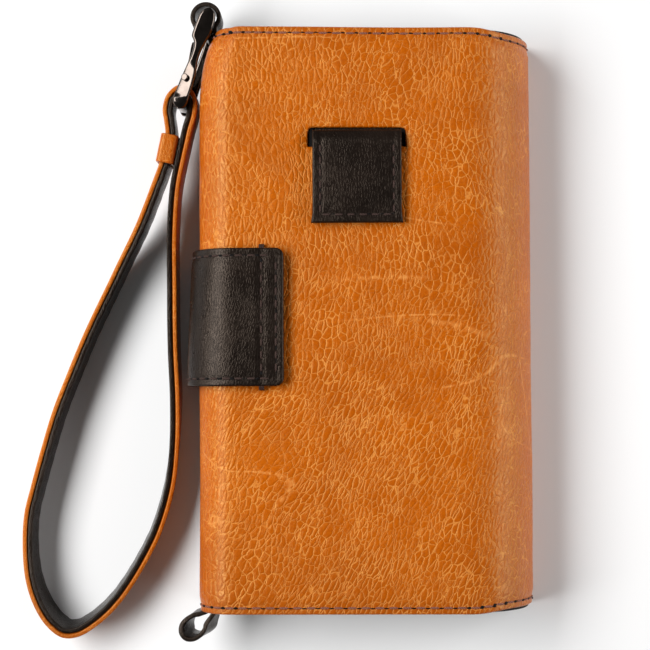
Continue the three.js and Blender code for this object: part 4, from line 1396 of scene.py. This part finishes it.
def strap_pieces():
    """Two bars carried along the route, leaning by 9 degrees over the far turn. The inner one has a slight
    sine ripple there."""
    route = through(STRAP_ROUTE, 420) * MM + np.array([fore_edge, half_length])
    heading = unit(np.gradient(route, axis=0))
    inward = np.column_stack([heading[:, 1], -heading[:, 0], np.zeros(len(route))])
    share = np.linspace(0, 1, len(route))
    lean = np.radians(9) * (smooth(share, 0.30, 0.42) - smooth(share, 0.56, 0.66))
    up = UP * np.cos(lean)[:, None] - inward * np.sin(lean)[:, None]
    across = inward * np.cos(lean)[:, None] + UP * np.sin(lean)[:, None]
    inner_depth = STRAP_OUTER + STRAP_GAP + STRAP_INNER / 2
    for name, node, inset, thick, material, slot, wave in (
        ("strap_outer_layer", "strap_outer", STRAP_OUTER / 2, STRAP_OUTER, STRAP_ORANGE, "orange_leather",
         0.0),
        ("strap_inner_layer", "strap_inner", inner_depth, STRAP_INNER, BLACK, "black_leather", 0.04),
    ):
        ripple = wave * MM * np.sin(share * 420) * smooth(share, 0.3, 0.5)
        centre = np.column_stack([route, strap_height(route[:, 1])]) + inward * (inset + ripple)[:, None]
        layer = bar(name, centre, across, up, thick, STRAP_WIDTH, 0.38 * MM, material)
        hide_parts(node)
        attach(layer, "wrist_strap")


def keeper_sleeve():
    """A closed band round both strap layers: a rounded rectangle whose wall is a flat bar."""
    thick = STRAP_OUTER + STRAP_GAP + STRAP_INNER
    forward = np.array([math.cos(KEEPER_HEADING), math.sin(KEEPER_HEADING), 0.0])
    sideways = np.array([math.sin(KEEPER_HEADING), -math.cos(KEEPER_HEADING), 0.0])
    middle_xy = np.array([KEEPER_X, KEEPER_Y, 0.0]) + sideways * thick / 2
    middle = middle_xy + UP * (STRAP_FLOOR + STRAP_LIFT + STRAP_WIDTH / 2)
    wall = 0.8 * MM
    half_thick = thick / 2 + 0.25 * MM + wall / 2
    half_wide = STRAP_WIDTH / 2 + 0.25 * MM + wall / 2
    corner = 0.9 * MM
    turn, sign_x, sign_y = four_corners(6)
    local_x = sign_x * (half_thick - corner) + corner * np.cos(turn)
    local_y = sign_y * (half_wide - corner) + corner * np.sin(turn)
    centre = middle + local_x[:, None] * sideways + local_y[:, None] * UP
    out = np.cos(turn)[:, None] * sideways + np.sin(turn)[:, None] * UP
    keeper = bar(
        "keeper_sleeve", centre, forward, out, KEEPER_LENGTH, wall, 0.3 * MM, STRAP_ORANGE, closed=True
    )
    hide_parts("strap_keeper")
    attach(keeper, "wrist_strap")


def dress_frame():
    """Finishes for the frame's own pieces that stay in view."""
    for nodes, material in (
        (("front_board", "back_board"), BOARD),
        (("phone_tray",), PLASTIC),
        (("striker_plate", "clasp_magnet"), NICKEL),
    ):
        for node in nodes:
            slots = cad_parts[node].material_slots
            for i in range(len(slots)):
                slots[i].material = material


# ---------------------------------------------------------------- floor, lights and camera


def area_light(name, place, aim, size, power):
    """A rectangular light. Its first size is level, its second tilts with its aim."""
    data = bpy.data.lights.new(name, "AREA")
    data.shape = "RECTANGLE"
    data.size, data.size_y = size
    data.energy = power
    light = bpy.data.objects.new(name, data)
    light.location = place
    direction = np.array(aim) - np.array(place)
    light.rotation_euler = (
        math.acos(-direction[2] / np.linalg.norm(direction)),
        0.0,
        math.atan2(direction[1], direction[0]) + math.pi / 2 + math.pi,
    )
    bpy.context.scene.collection.objects.link(light)


def studio():
    """A pale floor, an even room and two softboxes."""
    bpy.context.scene.view_settings.view_transform = "Standard"
    size, level = 3.0, -0.00002
    points = [(-size, -size, level), (size, -size, level), (size, size, level), (-size, size, level)]
    floor = make_piece("studio_floor", points, [[0, 1, 2, 3]], floor_material())
    world = bpy.data.worlds.new("soft_grey_room")
    bpy.context.scene.world = world
    world.use_nodes = True
    world.node_tree.nodes["Background"].inputs["Color"].default_value = (1, 1, 1, 1)
    world.node_tree.nodes["Background"].inputs["Strength"].default_value = 0.09
    area_light("left_softbox", (-0.53, 0.10, 0.51), (0, 0, 0), (0.80, 0.34), 8.6)
    area_light("right_softbox", (0.72, 0.02, 0.30), (0, 0, 0), (0.80, 0.34), 5.0)


def camera_above():
    """Nearly straight down, a little from the foot of the wallet. The lens and sensor are in mm."""
    data = bpy.data.cameras.new("camera")
    data.sensor_width = 36.0
    data.lens = 86.233846
    camera = bpy.data.objects.new("camera", data)
    pitch, yaw, roll = 0.0455, -0.0152, -0.0036
    camera.location = (-4.9 * MM, -20.1 * MM, 429.4 * MM)
    camera.rotation_mode = "XYZ"
    camera.rotation_euler = (pitch, -yaw, roll)
    bpy.context.scene.collection.objects.link(camera)
    bpy.context.scene.camera = camera


camera_above()
studio()
dress_frame()
cover_pieces()
lining_pieces()
cover_seams()
card_pockets()
tray_pad_and_clasp_seat()
slot_inside()
closure_tab()
seam_bars()
pull_tab()
strap_loops()
clip_pieces()
clip_gate()
strap_pieces()
keeper_sleeve()
